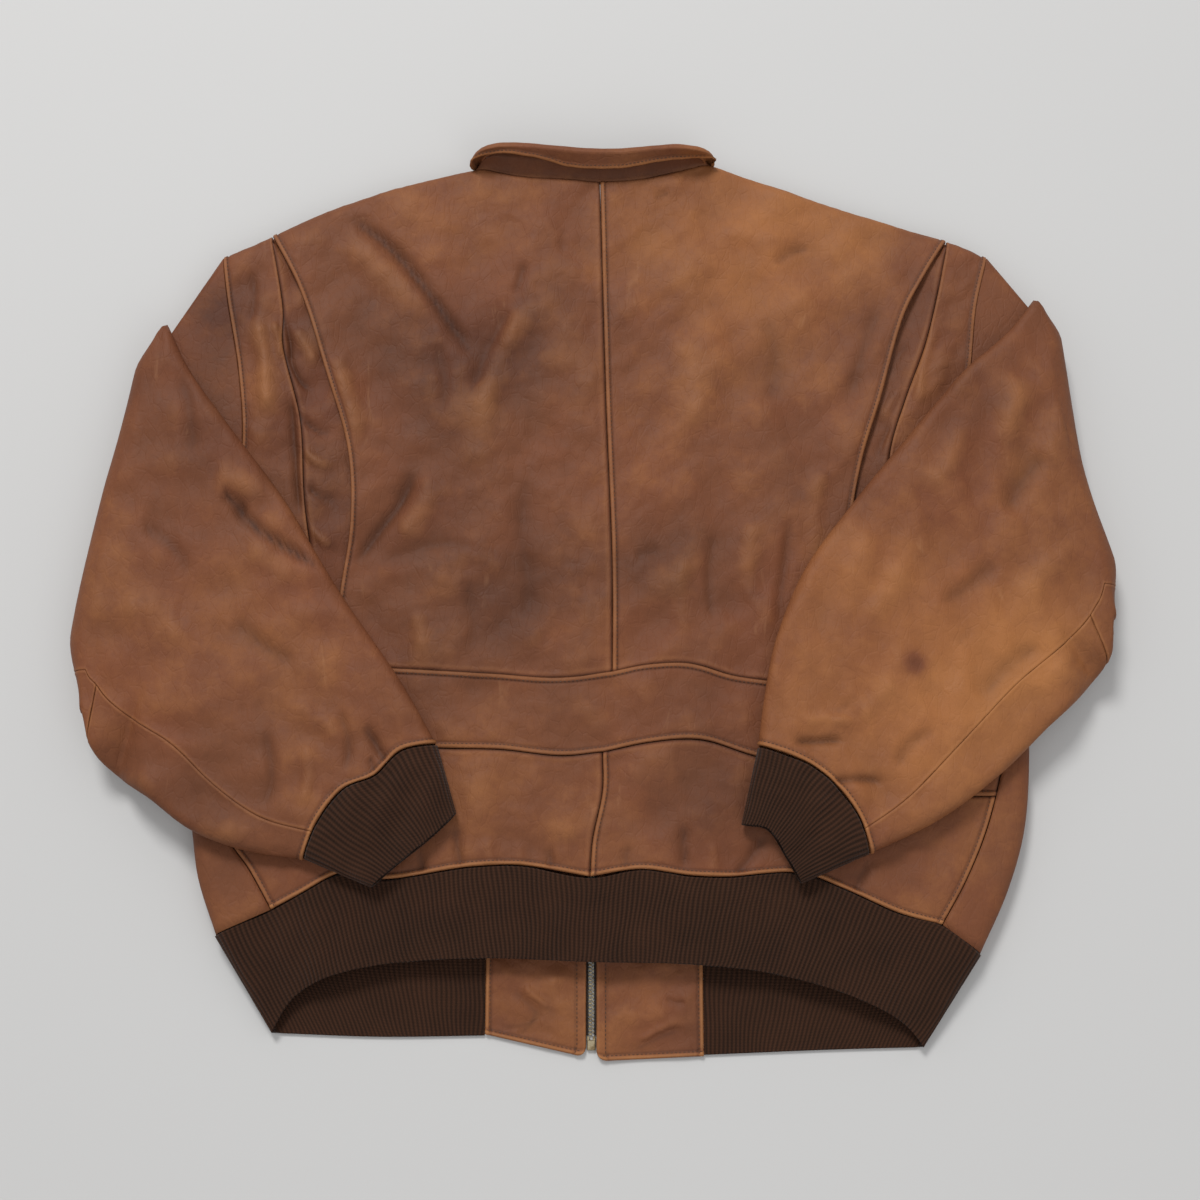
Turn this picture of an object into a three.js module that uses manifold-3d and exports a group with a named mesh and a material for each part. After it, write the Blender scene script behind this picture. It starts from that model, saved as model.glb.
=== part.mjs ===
// A leather flying jacket laid face down on a flat surface, its front fastened and both sleeves folded
// over its back. Millimetres. X runs across the back, Y from the hem to the collar, Z up from the surface.
// The body is a flattened tube of leather panels: the fronts lie on the surface and wrap up round the
// sides, and the back lies over them. Each sleeve is a flattened tube that runs out from its armhole,
// turns over at a fold and lies back over the body. The cuffs and the waistband are knitted rib.
import * as THREE from "three";
import { mergeVertices } from "three/addons/utils/BufferGeometryUtils.js";
import Module from "manifold-3d";

// ---- driving dimensions -------------------------------------------------------------------------
const LEATHER = 2; // wall of the garment leather with what backs it
const RIB = 2.6; // wall of the rib knit
const SEAM = 0.3; // gap between two sewn edges
const CURVED = 1.4; // the same on a curved seam, where the facets of its two sides cut corners differently
const BODY_HIGH = 24; // outer height of the body, front to back
const EDGE = BODY_HIGH / 2; // radius of the rounded edge where front and back meet
const BAND_HIGH = 21; // outer height of the waistband at mid back
const SLEEVE_HIGH = 18; // outer height of the folded half of a sleeve
const CUFF_HIGH = 15; // outer height of a cuff
const LAYER_GAP = 0.8; // air between a folded sleeve and what it lies on
const PLEAT_LIFT = 3; // how far the back's pleat edge stands over the gusset
const PLEAT_TUCK = 9; // how far the gusset runs on under the back
const UNDER_TOP = { fold: 38, arm: 48, wrist: 26 }; // under sleeve that shows, round from the sleeve's lower edge
const UNDER_BOTTOM = 45; // and that lies underneath
const WIDE = { armhole: 290, fold: 320, wrist: 138, hand: 92 }; // flat widths down the sleeve and the cuff
const PANEL_TOP = -287.6; // where the zip panels meet the fronts
const COLLAR_ROLL = 5; // radius of the roll where the collar turns over
const OUTLINE_MIDDLE_Y = 12.8; // the outlines below are laid out from a point this far from the jacket's middle
const ZIP = { x: -7, chain: 4.4, tape: 2.6, high: 2.2 };

// ---- small helpers ------------------------------------------------------------------------------
const lerp = (a, b, t) => a + (b - a) * t;
const clamp01 = (t) => Math.min(1, Math.max(0, t));
const smooth = (t) => clamp01(t) ** 2 * (3 - 2 * clamp01(t));
const xy = (x, y, z = 0) => new THREE.Vector3(x, y, z);
const mix = (a, b, t) => new THREE.Vector3().lerpVectors(a, b, t);

// A smooth line through plan points, read by its share of the length.
function line(...points) {
  const curve = new THREE.CatmullRomCurve3(points.map((p) => xy(...p)), false, "centripetal");
  curve.arcLengthDivisions = 400;
  const at = (t) => curve.getPointAt(clamp01(t));
  at.reversed = () => (t) => at(1 - t);
  at.samples = curve.getSpacedPoints(60);
  return at;
}
const part = (curve, from, to) => (t) => curve(lerp(from, to, t));
const join = (a, b, share) => (t) => (t < share ? a(t / share) : b((t - share) / (1 - share)));

// The share of a line's length at which it passes nearest to a point.
function shareNear(curve, point) {
  let best = 0;
  for (let i = 0; i <= 400; i++)
    if (curve(i / 400).distanceTo(point) < curve(best).distanceTo(point)) best = i / 400;
  return best;
}
function distanceTo(curves, x, y) {
  let best = Infinity;
  for (const { samples } of curves)
    for (let i = 0; i + 1 < samples.length; i++) {
      const [a, b] = [samples[i], samples[i + 1]], [dx, dy] = [b.x - a.x, b.y - a.y];
      const t = clamp01(((x - a.x) * dx + (y - a.y) * dy) / (dx * dx + dy * dy));
      best = Math.min(best, Math.hypot(a.x + dx * t - x, a.y + dy * t - y));
    }
  return best;
}

// ---- outlines and seams in plan, one set for each side -------------------------------------------
const SIDES = {
  left: {
    sign: -1,
    shoulder: line([-110, 384], [-175, 367], [-235, 346], [-284, 322], [-325, 302]),
    armhole: line([-325, 302], [-319, 261], [-307, 198], [-301, 136], [-305, 98], [-317, 60], [-337, 20]),
    edge: line([-337, 20], [-342, -60], [-340, -130], [-330, -194], [-324, -230], [-308, -274]),
    seam: line([-337, 20], [-337, -50], [-322, -120], [-300, -195], [-281, -222], [-262, -254]),
    pleat: line([-284, 322], [-257, 269], [-233, 197], [-212, 127], [-208, 66], [-215, 7], [-221, -59]),
    gusset: line([-284, 322], [-271, 252], [-270, 221], [-253, 154], [-247, 84], [-237, 15], [-236, -60]),
    belt: line([-333, -82], [-290, -68], [-221, -59], [-98, -63], [-33, -67], [10, -62]),
    yoke: line([-320, -128], [-270, -120], [-200, -122], [-132, -125], [-81, -126], [-32, -131], [2, -128]),
    waist: line([-262, -254], [-240, -242], [-204, -224], [-176, -230], [-104, -220], [-64, -219], [-8, -228]),
    neck: line([-110, 384], [-70, 375], [-35, 373], [0, 370]),
    frontNeck: line([-110, 384], [-92, 352], [-55, 334], [ZIP.x, 330]),
    frontWaist: line([-308, -274], [-240, -280], [-150, -283], [ZIP.x, -286]),
    fold: line([-366, 234], [-382, 144], [-395, 83], [-412, -19], [-418, -98]),
    over: line(
      [-366, 234], [-345, 193], [-300, 132], [-261, 80], [-230, 29], [-209, -4], [-162, -71], [-131, -124],
    ),
    under: line([-418, -98], [-409, -128], [-390, -148], [-361, -167], [-328, -191], [-287, -207], [-235, -215]),
    cuffSeam: line([-131, -124], [-159, -130], [-180, -150], [-204, -160], [-224, -186], [-235, -215]),
    cuffEnd: line([-115, -178], [-137, -199], [-163, -220], [-182, -237]),
    elbow: 0.1, // where the under sleeve's two lengths meet, as a share of the folded half
    covered: 30, // below this the folded sleeve presses the pleat flat
  },
  right: {
    sign: 1,
    shoulder: line([98, 388], [140, 372], [218, 344], [261, 330], [300, 317], [334, 302]),
    armhole: line([334, 302], [322, 255], [317, 216], [310, 150], [312, 105], [322, 62], [342, 20]),
    edge: line([342, 20], [350, -50], [351, -120], [344, -190], [328, -240], [304, -289]),
    seam: line([342, 20], [345, -50], [325, -142], [311, -190], [293, -230], [272, -266]),
    pleat: line([300, 317], [279, 283], [260, 247], [237, 171], [220, 118], [210, 60], [212, -10], [214, -79]),
    gusset: line([300, 317], [290, 270], [277, 221], [258, 171], [244, 127], [238, 60], [232, 0], [230, -82]),
    belt: line([338, -105], [270, -92], [214, -79], [135, -69], [110, -65], [74, -55], [41, -56], [10, -62]),
    yoke: line([318, -164], [289, -163], [200, -148], [127, -132], [81, -118], [41, -120], [2, -128]),
    waist: line([272, -266], [239, -257], [196, -238], [160, -225], [102, -228], [72, -227], [32, -222], [-8, -228]),
    neck: line([98, 388], [44, 374], [0, 370]),
    frontNeck: line([98, 388], [78, 352], [42, 334], [ZIP.x, 330]),
    frontWaist: line([304, -289], [240, -290], [150, -288], [ZIP.x, -286]),
    fold: line([368, 256], [374, 197], [384, 109], [405, 32], [420, -20]),
    over: line(
      [368, 256], [346, 229], [303, 189], [254, 132], [211, 80], [168, 21], [143, -38], [134, -79], [127, -126],
    ),
    under: line([420, -20], [414, -56], [356, -115], [322, -147], [272, -183], [214, -211]),
    cuffSeam: line([127, -126], [152, -134], [172, -144], [190, -160], [206, -184], [214, -211]),
    cuffEnd: line([113, -187], [134, -191], [148, -212], [160, -234]),
    elbow: 0.13,
    covered: 82,
  },
};
const CENTRE_BACK = line([10, -62], [10, 32], [5, 171], [0, 370]);
const CENTRE_LOW = line([-8, -228], [-6, -199], [2, -159], [2, -128]);

// ---- the body's form ------------------------------------------------------------------------------
// Height over a rounded edge: 0 at the surface the edge turns round, 1 at the flat beyond it.
const round = (d, radius) => Math.sqrt(1 - (1 - clamp01(d / radius)) ** 2);
const bodyEdges = (side) => [SIDES[side].shoulder, SIDES[side].edge];
const edgeDistance = (x, y) => distanceTo(bodyEdges(x < 0 ? "left" : "right"), x, y);
const backHeight = (x, y) => EDGE + EDGE * round(edgeDistance(x, y), EDGE);
const frontHeight = (x, y) => EDGE - EDGE * round(edgeDistance(x, y), EDGE);

// A patch between four plan lines (all run left to right or bottom to top), at a height worked out from x and y.
function coons(bottom, top, left, right, height) {
  const c00 = bottom(0), c10 = bottom(1), c01 = top(0), c11 = top(1);
  return (u, v) => {
    const p = mix(bottom(u), top(u), v).add(mix(left(v), right(v), u));
    p.sub(mix(mix(c00, c10, u), mix(c01, c11, u), v));
    p.z = height(p.x, p.y, u, v);
    return p;
  };
}

// ---- walls ------------------------------------------------------------------------------------------
// Shares of a length, evenly spaced in the middle and closer together near a rounded end.
function spaced(count, low = 0, high = 0) {
  const shares = [];
  for (let i = 0; i <= count; i++) shares.push(lerp(low, 1 - high, i / count));
  for (const k of [0.55, 0.2, 0]) {
    if (high) shares.push(1 - high * k);
    if (low) shares.unshift(low * k);
  }
  return shares;
}

// The faces of a grid of points f(u, v), with its edges drawn in by half the seam gap.
function gridRows(f, us, vs, gap) {
  const across = f(0, 0.5).distanceTo(f(1, 0.5)) + 1, along = f(0.5, 0).distanceTo(f(0.5, 1)) + 1;
  const inset = (t, share) => (t === 0 ? share : t === 1 ? 1 - share : t);
  return vs.map((v) => us.map((u) => f(inset(u, gap / 2 / across), inset(v, gap / 2 / along))));
}
const grid = (f, us, vs, gap = CURVED) => quads(gridRows(f, us, vs, gap));
function quads(rows) {
  const faces = [];
  for (let j = 0; j + 1 < rows.length; j++)
    for (let i = 0; i + 1 < rows[j].length; i++) {
      const [a, b, c, d] = [rows[j][i], rows[j][i + 1], rows[j + 1][i + 1], rows[j + 1][i]];
      faces.push([a, b, c], [a, c, d]);
    }
  return faces;
}

// A closed wall: the outer faces, the same faces moved inwards, and a rim round every open edge.
// mirrored says that the faces were laid out in a mirror, as on the other side of the jacket.
function wall(laid, thickness, mirrored = false) {
  const faces = mirrored ? laid.map(([a, b, c]) => [a, c, b]) : laid;
  const points = [], index = new Map(), triangles = [];
  const key = (p) => [p.x, p.y, p.z].map((c) => Math.round(c * 200)).join();
  const idOf = (p) => {
    const k = key(p);
    if (!index.has(k)) index.set(k, points.push(p.clone()) - 1);
    return index.get(k);
  };
  for (const face of faces) {
    const t = face.map(idOf);
    if (new Set(t).size === 3) triangles.push(t);
  }
  const normals = points.map(() => xy(0, 0));
  for (const [a, b, c] of triangles) {
    const n = points[b].clone().sub(points[a]).cross(points[c].clone().sub(points[a]));
    for (const i of [a, b, c]) normals[i].add(n);
  }
  const inner = points.map((p, i) => p.clone().addScaledVector(normals[i].normalize(), -thickness));
  const edges = new Map();
  for (const t of triangles)
    for (let k = 0; k < 3; k++) edges.set(t[k] + ">" + t[(k + 1) % 3], [t[k], t[(k + 1) % 3]]);
  const out = [];
  for (const [a, b, c] of triangles)
    out.push(points[a], points[b], points[c], inner[a], inner[c], inner[b]);
  for (const [a, b] of edges.values())
    if (!edges.has(b + ">" + a)) out.push(points[b], points[a], inner[a], points[b], inner[a], inner[b]);
  const geometry = new THREE.BufferGeometry().setFromPoints(out);
  return volume(out) < 0 ? turned(geometry) : geometry;
}
function volume(points) {
  let six = 0;
  for (let i = 0; i < points.length; i += 3)
    six += points[i].dot(points[i + 1].clone().cross(points[i + 2]));
  return six / 6;
}
function turned(geometry) {
  const p = geometry.getAttribute("position");
  for (let i = 0; i < p.count; i += 3)
    for (const k of [0, 1, 2]) {
      const [b, c] = [p.array[3 * (i + 1) + k], p.array[3 * (i + 2) + k]];
      p.array[3 * (i + 1) + k] = c;
      p.array[3 * (i + 2) + k] = b;
    }
  return geometry;
}

// ---- materials -----------------------------------------------------------------------------------------
const finish = (color, roughness, metalness = 0) => new THREE.MeshStandardMaterial({ color, roughness, metalness });
const LEATHER_BROWN = finish(0x7d5138, 0.6);
const LEATHER_TAN = finish(0x946540, 0.6);
const LEATHER_DARK = finish(0x6a4433, 0.6);
const KNIT = finish(0x372219, 0.95);
const TAPE = finish(0x2e2018, 0.95);
const METAL = finish(0x8a7a58, 0.4, 0.9);

const jacket = new THREE.Group();
function add(name, geometry, material) {
  const mesh = new THREE.Mesh(geometry, material);
  mesh.name = name;
  jacket.add(mesh);
  return mesh;
}

// ---- back ---------------------------------------------------------------------------------------------
// The centre panels' pleat edge stands a little over the gusset, which runs on under it.
function backPanels(side, s) {
  const pleatTop = shareNear(s.shoulder, s.pleat(0)), pleatAtBelt = shareNear(s.belt, s.pleat(1));
  const gussetAtBelt = shareNear(s.belt, s.gusset(1));
  const shoulderIn = part(s.shoulder, pleatTop, 0), neckShare = 0.5;
  const lifted = (x, y, u) => {
    const free = smooth(edgeDistance(x, y) / 40) * smooth((y - s.covered) / 45);
    return backHeight(x, y) + PLEAT_LIFT * (1 - smooth(u / 0.16)) * free;
  };
  const centre = coons(
    part(s.belt, pleatAtBelt, 1), join(shoulderIn, s.neck, neckShare), s.pleat.reversed(), CENTRE_BACK, lifted,
  );
  add("back_" + side, wall(grid(centre, spaced(7, 0.06), spaced(8, 0, 0.06)), LEATHER, s.sign > 0), LEATHER_BROWN);

  const low = (x, y, u) => backHeight(x, y) - (LEATHER + 1) * smooth(u * 1.4);
  const tucked = (v) => s.pleat(1 - v).add(xy(-s.sign * PLEAT_TUCK * smooth((1 - v) / 0.1), 0));
  const gusset = coons(
    (t) => mix(s.gusset(1), tucked(0), t), (t) => mix(s.gusset(0.015), tucked(0.985), t),
    (t) => s.gusset(1 - 0.985 * t), part(tucked, 0, 0.985), low,
  );
  add("gusset_" + side, wall(grid(gusset, spaced(2), spaced(9, 0, 0.06)), LEATHER, s.sign > 0), LEATHER_DARK);

  const seamAtBelt = shareNear(s.seam, s.belt(0));
  const outer = join(part(s.seam, seamAtBelt, 0), s.armhole.reversed(), 0.25);
  const panel = coons(
    part(s.belt, 0, gussetAtBelt), (t) => s.shoulder(lerp(1, pleatTop, t)), outer, s.gusset.reversed(), backHeight,
  );
  add("side_panel_" + side, wall(grid(panel, spaced(3, 0.12), spaced(10, 0, 0.05)), LEATHER, s.sign > 0), LEATHER_TAN);

  const seamAtYoke = shareNear(s.seam, s.yoke(0));
  const lower = coons(s.waist, s.yoke, part(s.seam, 1, seamAtYoke), CENTRE_LOW, backHeight);
  add("lower_back_" + side, wall(grid(lower, spaced(10), spaced(4)), LEATHER, s.sign > 0), LEATHER_BROWN);
}

// The belt strip is one length from side seam to side seam.
function belt() {
  const { left, right } = SIDES;
  const whole = (name) => join(left[name], right[name].reversed(), 0.5);
  const end = (s) => part(s.seam, shareNear(s.seam, s.yoke(0)), shareNear(s.seam, s.belt(0)));
  const strip = coons(whole("yoke"), whole("belt"), end(left), end(right), backHeight);
  add("belt", wall(grid(strip, spaced(20), spaced(2)), LEATHER), LEATHER_TAN);
}

// ---- fronts ---------------------------------------------------------------------------------------------
// A front lies on the surface from the zip to the body's edge, and below the armhole it wraps up to the side seam.
function frontPanel(side, s) {
  const zipEdge = ZIP.x + s.sign * (ZIP.chain / 2 + ZIP.tape + SEAM);
  const centre = line([zipEdge, -286], [zipEdge, 330]);
  const waist = (t) => mix(s.frontWaist(t), xy(lerp(s.frontWaist(0).x, zipEdge, t), s.frontWaist(t).y), t);
  const throat = (t) => {
    const p = s.frontNeck(t);
    p.x = lerp(p.x, zipEdge, t ** 4);
    return p;
  };
  const top = join(s.shoulder.reversed(), throat, 0.6);
  const split = 0.42;
  const outer = join(s.edge.reversed(), s.armhole.reversed(), split);
  const flat = coons(waist, top, outer, centre, frontHeight);
  const us = spaced(5, 0.035), vs = spaced(10, 0, 0.035);
  vs.push(split);
  vs.sort((a, b) => a - b);
  const rows = gridRows(flat, us, vs, CURVED), faces = quads(rows);
  const wraps = vs.flatMap((v, j) => {
    if (v > split) return [];
    const foot = rows[j][0], top = s.seam(v === split ? 0 : 1 - v / split);
    top.x += s.sign * CURVED;
    return [[1, 0.75, 0.5, 0.25, 0.1, 0].map((u) => {
      if (v === split || u === 0) return foot;
      const p = mix(foot, top, u);
      p.z = EDGE + EDGE * round(edgeDistance(p.x, p.y), EDGE);
      return p;
    })];
  });
  faces.push(...quads(wraps));
  add("front_" + side, wall(faces, LEATHER, s.sign < 0), LEATHER_BROWN);
}

// ---- sleeves ------------------------------------------------------------------------------------------------
// A point on the loop of a flattened tube: a is the length along the loop from its lower edge, towards the
// side that ends up on top; width is the flat width. Returns the share across and the height from -1 to 1.
function onLoop(a, width, radius) {
  const straight = width - 2 * radius, quarter = (Math.PI * radius) / 2, total = 2 * straight + 4 * quarter;
  const s = ((a % total) + total) % total;
  const arc = (start, from) => from + (s - start) / radius;
  let x, z;
  if (s < quarter) [x, z] = [radius * (1 - Math.cos(s / radius)), Math.sin(s / radius)];
  else if (s < quarter + straight) [x, z] = [radius + s - quarter, 1];
  else if (s < 3 * quarter + straight) {
    const angle = arc(quarter + straight, Math.PI / 2);
    [x, z] = [width - radius - radius * Math.cos(angle), Math.sin(angle)];
  } else if (s < 3 * quarter + 2 * straight) [x, z] = [width - radius - (s - 3 * quarter - straight), -1];
  else {
    const angle = (total - s) / radius;
    [x, z] = [radius * (1 - Math.cos(angle)), -Math.sin(angle)];
  }
  return { across: 1 - x / width, high: z, total };
}

// How high the body or the lower half of the sleeve holds up a point of the folded sleeve.
function support(s, x, y) {
  const body = s.edge.samples, limit = s.sign * x;
  let nearest = Infinity;
  for (const p of body) nearest = Math.min(nearest, Math.hypot(p.x - x, p.y - y));
  const inside = body.some((p) => Math.abs(p.y - y) < 3 && s.sign * p.x > limit);
  const [q, w] = [s.armhole(1), s.fold(1)];
  const slope = xy(w.x - q.x, w.y - q.y).normalize();
  const past = s.sign * ((x - q.x) * slope.y - (y - q.y) * slope.x);
  const off = inside || y > q.y ? 0 : Math.max(0, Math.min(nearest, past) - 20);
  return BODY_HIGH * (1 - smooth(off / 50));
}

// A point of the sleeve: along 0 is the armhole, 1 and 2 the two sides of the fold, 3 the cuff seam.
function sleevePoint(s, along, across, high) {
  if (along <= 1) {
    const p = mix(s.armhole(across), s.fold(across), along);
    p.z = EDGE - EDGE * high;
    return p;
  }
  const axis = s.fold(across);
  if (along < 2) {
    const turn = (along - 1) * Math.PI, thick = lerp(BODY_HIGH, SLEEVE_HIGH, smooth(along - 1));
    const corner = 1 - 0.8 * smooth((across - 0.8) / 0.2) - 0.6 * smooth((0.12 - across) / 0.12);
    const reach = LAYER_GAP / 2 + (thick * (1 + high)) / 2, outward = Math.sin(turn) * reach * corner;
    return xy(axis.x + s.sign * outward, axis.y, BODY_HIGH + LAYER_GAP / 2 - Math.cos(turn) * reach);
  }
  const t = along - 2;
  const over = s.over(t), under = s.under(t);
  const p = mix(over, under, across);
  const bow = mix(s.over(1), s.under(1), across).sub(s.cuffSeam(across)).multiplyScalar(smooth((t - 0.7) / 0.3));
  p.sub(bow);
  const start = s.fold(across).sub(mix(s.over(0), s.under(0), across)).multiplyScalar(1 - smooth(t / 0.3));
  p.add(start);
  p.z = support(s, p.x, p.y) + LAYER_GAP + (SLEEVE_HIGH / 2) * (1 + high);
  return p;
}

// Where the under sleeve's upper seam runs, round from the sleeve's lower edge.
function underSeam(along) {
  const t = clamp01(along - 2);
  return lerp(lerp(UNDER_TOP.fold, UNDER_TOP.arm, smooth(t / 0.12)), UNDER_TOP.wrist, smooth((t - 0.35) / 0.65));
}
// The sleeve is the way round from the upper seam to the lower one, and the under sleeve is the rest.
function sleevePiece(s, under, stations) {
  const rows = stations.map((along) => {
    const t = clamp01(along - 2);
    const widest = along <= 1 ? lerp(WIDE.armhole, WIDE.fold, along) : lerp(WIDE.fold, WIDE.wrist, t);
    const { total } = onLoop(0, widest, SLEEVE_HIGH / 2), below = UNDER_BOTTOM * widest / WIDE.fold;
    const [low, high] = under ? [-below, underSeam(along)] : [underSeam(along), total - below];
    const steps = under ? 6 : 20;
    const row = [];
    for (let i = 0; i <= steps; i++) {
      const a = lerp(low + CURVED / 2, high - CURVED / 2, i / steps);
      const at = onLoop(a, widest, SLEEVE_HIGH / 2);
      row.push(sleevePoint(s, along, at.across, at.high));
    }
    return row;
  });
  return quads(rows);
}

const between = (a, b, count) => Array.from({ length: count + 1 }, (_, i) => lerp(a, b, i / count));
function sleeve(side, s) {
  const start = 0.014, fold = between(1, 2, 6), end = 2.996;
  const joint = 2 + s.elbow, gap = 0.003;
  const stations = [start, 0.5, ...fold, ...between(2.06, end, 9)];
  const mirrored = s.sign < 0;
  add("sleeve_" + side, wall(sleevePiece(s, false, stations), LEATHER, mirrored), LEATHER_TAN);
  const upper = [...stations.filter((a) => a < joint - 0.02), joint - gap];
  const lower = [joint + gap, ...stations.filter((a) => a > joint + 0.02)];
  add("under_sleeve_upper_" + side, wall(sleevePiece(s, true, upper), LEATHER, mirrored), LEATHER_BROWN);
  add("under_sleeve_lower_" + side, wall(sleevePiece(s, true, lower), LEATHER, mirrored), LEATHER_BROWN);
}

const CUFF_SIDES = 22;
// A cuff is a knitted tube from the sleeve's end, open at the hand.
function cuff(side, s) {
  const rows = [0.02, 0.25, 0.6, 1].map((t) => {
    const row = [], width = lerp(WIDE.wrist, WIDE.hand, t), high = lerp(SLEEVE_HIGH, CUFF_HIGH, t);
    const { total } = onLoop(0, width, high / 2);
    for (let i = 0; i <= CUFF_SIDES; i++) {
      const at = onLoop((total * i) / CUFF_SIDES, width, high / 2);
      const p = mix(s.cuffSeam(at.across), s.cuffEnd(at.across), t);
      p.z = BODY_HIGH + LAYER_GAP + (high / 2) * (1 + at.high);
      row.push(p);
    }
    return row;
  });
  add("cuff_" + side, wall(quads(rows), RIB, s.sign < 0), KNIT);
}

// ---- waistband ------------------------------------------------------------------------------------------------
const yAt = (curve, x) => {
  const { samples } = curve, up = samples[0].x < samples.at(-1).x ? 1 : -1;
  const i = samples.findIndex((p, k) => k > 0 && up * (p.x - x) >= 0);
  if (i < 0) return samples.at(-1).y;
  const [a, b] = [samples[i - 1], samples[i]];
  return lerp(a.y, b.y, clamp01((x - a.x) / (b.x - a.x)));
};
const BAND = {
  ends: { left: -92, right: 83 }, // where the knit meets the leather zip panels
  tips: { left: [xy(-308, -275), xy(-261, -350)], right: [xy(304, -290), xy(257, -361)] }, // folded sides: seam, hem
  seamTop: line(
    [-308, -275], [-285, -265], [-262, -255], [-240, -243], [-204, -225], [-176, -231], [-104, -221], [-64, -220],
    [-8, -229], [32, -223], [72, -228], [102, -229], [160, -226], [196, -239], [239, -258], [272, -267], [304, -290],
  ),
  hemTop: line(
    [-261, -350], [-245, -324], [-222, -309], [-175, -297], [-103, -292], [0, -295], [79, -297], [143, -305],
    [206, -324], [241, -343], [257, -361],
  ),
  seamFloor: {
    left: line([-92, -284.5], [-150, -284], [-240, -281], [-308, -275]),
    right: line([83, -288], [150, -289], [240, -291], [304, -290]),
  },
  hemFloor: {
    left: line([-92, -352], [-175, -353], [-261, -350]), right: line([83, -367], [183, -363], [257, -361]),
  },
};
// Height of the band at a distance d from its folded side: v is 0 at the leather and 1 at the hem.
function bandPoint(p, tip, v, above) {
  const half = lerp(EDGE, 6, v), d = Math.hypot(p.x - tip.x, p.y - tip.y);
  const high = above ? lerp(2 * half, lerp(BODY_HIGH, BAND_HIGH, v), smooth((d - half) / 70)) - half : half;
  p.z = half + (above ? 1 : -1) * high * round(d, half);
  return p;
}
function waistband() {
  const rows = [0, 0.3, 0.65, 1].map((v) => {
    const row = [];
    for (const [side, order] of [["left", spaced(5, 0, 0.07)], ["right", spaced(5, 0, 0.07).reverse()]]) {
      const tip = mix(...BAND.tips[side], v);
      const floor = order.map((t) => bandPoint(mix(BAND.seamFloor[side](t), BAND.hemFloor[side](t), v), tip, v, false));
      if (side === "right") {
        const tips = [mix(...BAND.tips.left, v), tip];
        for (const t of spaced(24, 0.03, 0.03).slice(1, -1)) {
          const p = mix(BAND.seamTop(t), BAND.hemTop(t), v);
          row.push(bandPoint(p, tips[t < 0.5 ? 0 : 1], v, true));
        }
      }
      row.push(...floor);
    }
    return row;
  });
  add("waistband", wall(quads(rows), RIB, true), KNIT);
}

// ---- trimming ----
// Cuts a piece clear of its neighbours by the seam gap, where the facets of two curved edges would touch.
const wasm = await Module();
wasm.setup();
function solid(geometry) {
  geometry.deleteAttribute("normal");
  geometry.deleteAttribute("uv");
  const merged = mergeVertices(geometry, 1e-4);
  return new wasm.Manifold(
    new wasm.Mesh({
      numProp: 3, vertProperties: merged.attributes.position.array, triVerts: new Uint32Array(merged.index.array),
    }),
  );
}
function geometryOf(made) {
  const mesh = made.getMesh(), geometry = new THREE.BufferGeometry();
  geometry.setAttribute("position", new THREE.BufferAttribute(mesh.vertProperties, 3));
  return geometry.setIndex(new THREE.BufferAttribute(mesh.triVerts, 1));
}
function trim(name, ...neighbours) {
  const mesh = jacket.getObjectByName(name);
  let made = solid(mesh.geometry);
  for (const other of neighbours.map((n) => solid(jacket.getObjectByName(n).geometry)))
    for (const [x, y, z] of [[1, 1, 0], [-1, 1, 0], [1, -1, 0], [-1, -1, 0], [0, 0, 1], [0, 0, -1]])
      made = made.subtract(other.translate([x * SEAM, y * SEAM, z * SEAM]));
  const largest = made.decompose().sort((a, b) => b.volume() - a.volume())[0];
  mesh.geometry = geometryOf(largest);
}

// ---- zip -----------------------------------------------------------------------------------------------------
const ZIP_LOW = -352, ZIP_TOP = 320;
function block(name, x, y, z, material) {
  const geometry = new THREE.BoxGeometry(x[1] - x[0], y[1] - y[0], z[1] - z[0]);
  geometry.translate((x[0] + x[1]) / 2, (y[0] + y[1]) / 2, (z[0] + z[1]) / 2);
  return add(name, geometry, material);
}
function zipPanels() {
  const corners = {
    left: [BAND.ends.left + SEAM, ZIP.x - 5, -351, -367], right: [BAND.ends.right - SEAM, ZIP.x + 5, -367, -371],
  };
  for (const [side, [outer, inner, outerY, innerY]] of Object.entries(corners)) {
    const f = (u, v) => xy(lerp(outer, inner, u), lerp(PANEL_TOP, lerp(outerY, innerY, u), v), 0);
    add("zip_panel_" + side, wall(grid(f, between(0, 1, 3), between(0, 1, 3), 0), LEATHER, side === "right"), LEATHER_TAN);
  }
}
function zip() {
  const half = ZIP.chain / 2;
  block("zip_tape_left", [ZIP.x - half - ZIP.tape, ZIP.x - half - SEAM], [ZIP_LOW, ZIP_TOP], [0, 1], TAPE);
  block("zip_tape_right", [ZIP.x + half + SEAM, ZIP.x + half + ZIP.tape], [ZIP_LOW, ZIP_TOP], [0, 1], TAPE);
  block("zip_chain", [ZIP.x - half, ZIP.x + half], [ZIP_LOW, ZIP_TOP], [0, ZIP.high], METAL);
  block("zip_box", [ZIP.x - 4.2, ZIP.x + 4.2], [ZIP_LOW - 12, ZIP_LOW - SEAM], [0, 3.4], METAL);
}

// The slider stands at the throat. Its pull tab turns on a pin held between two lugs on the outer face,
// which is the lower one here.
const PULL = { y: 327, z: 1.7, pin: 0.7, bore: 1, barrel: 1.55, half: 2.9, long: 26, thick: 1.8, lug: 1.5 };
const disc = (x, y, radius) => new THREE.Path().absarc(x, y, radius, 0, 2 * Math.PI);
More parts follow.
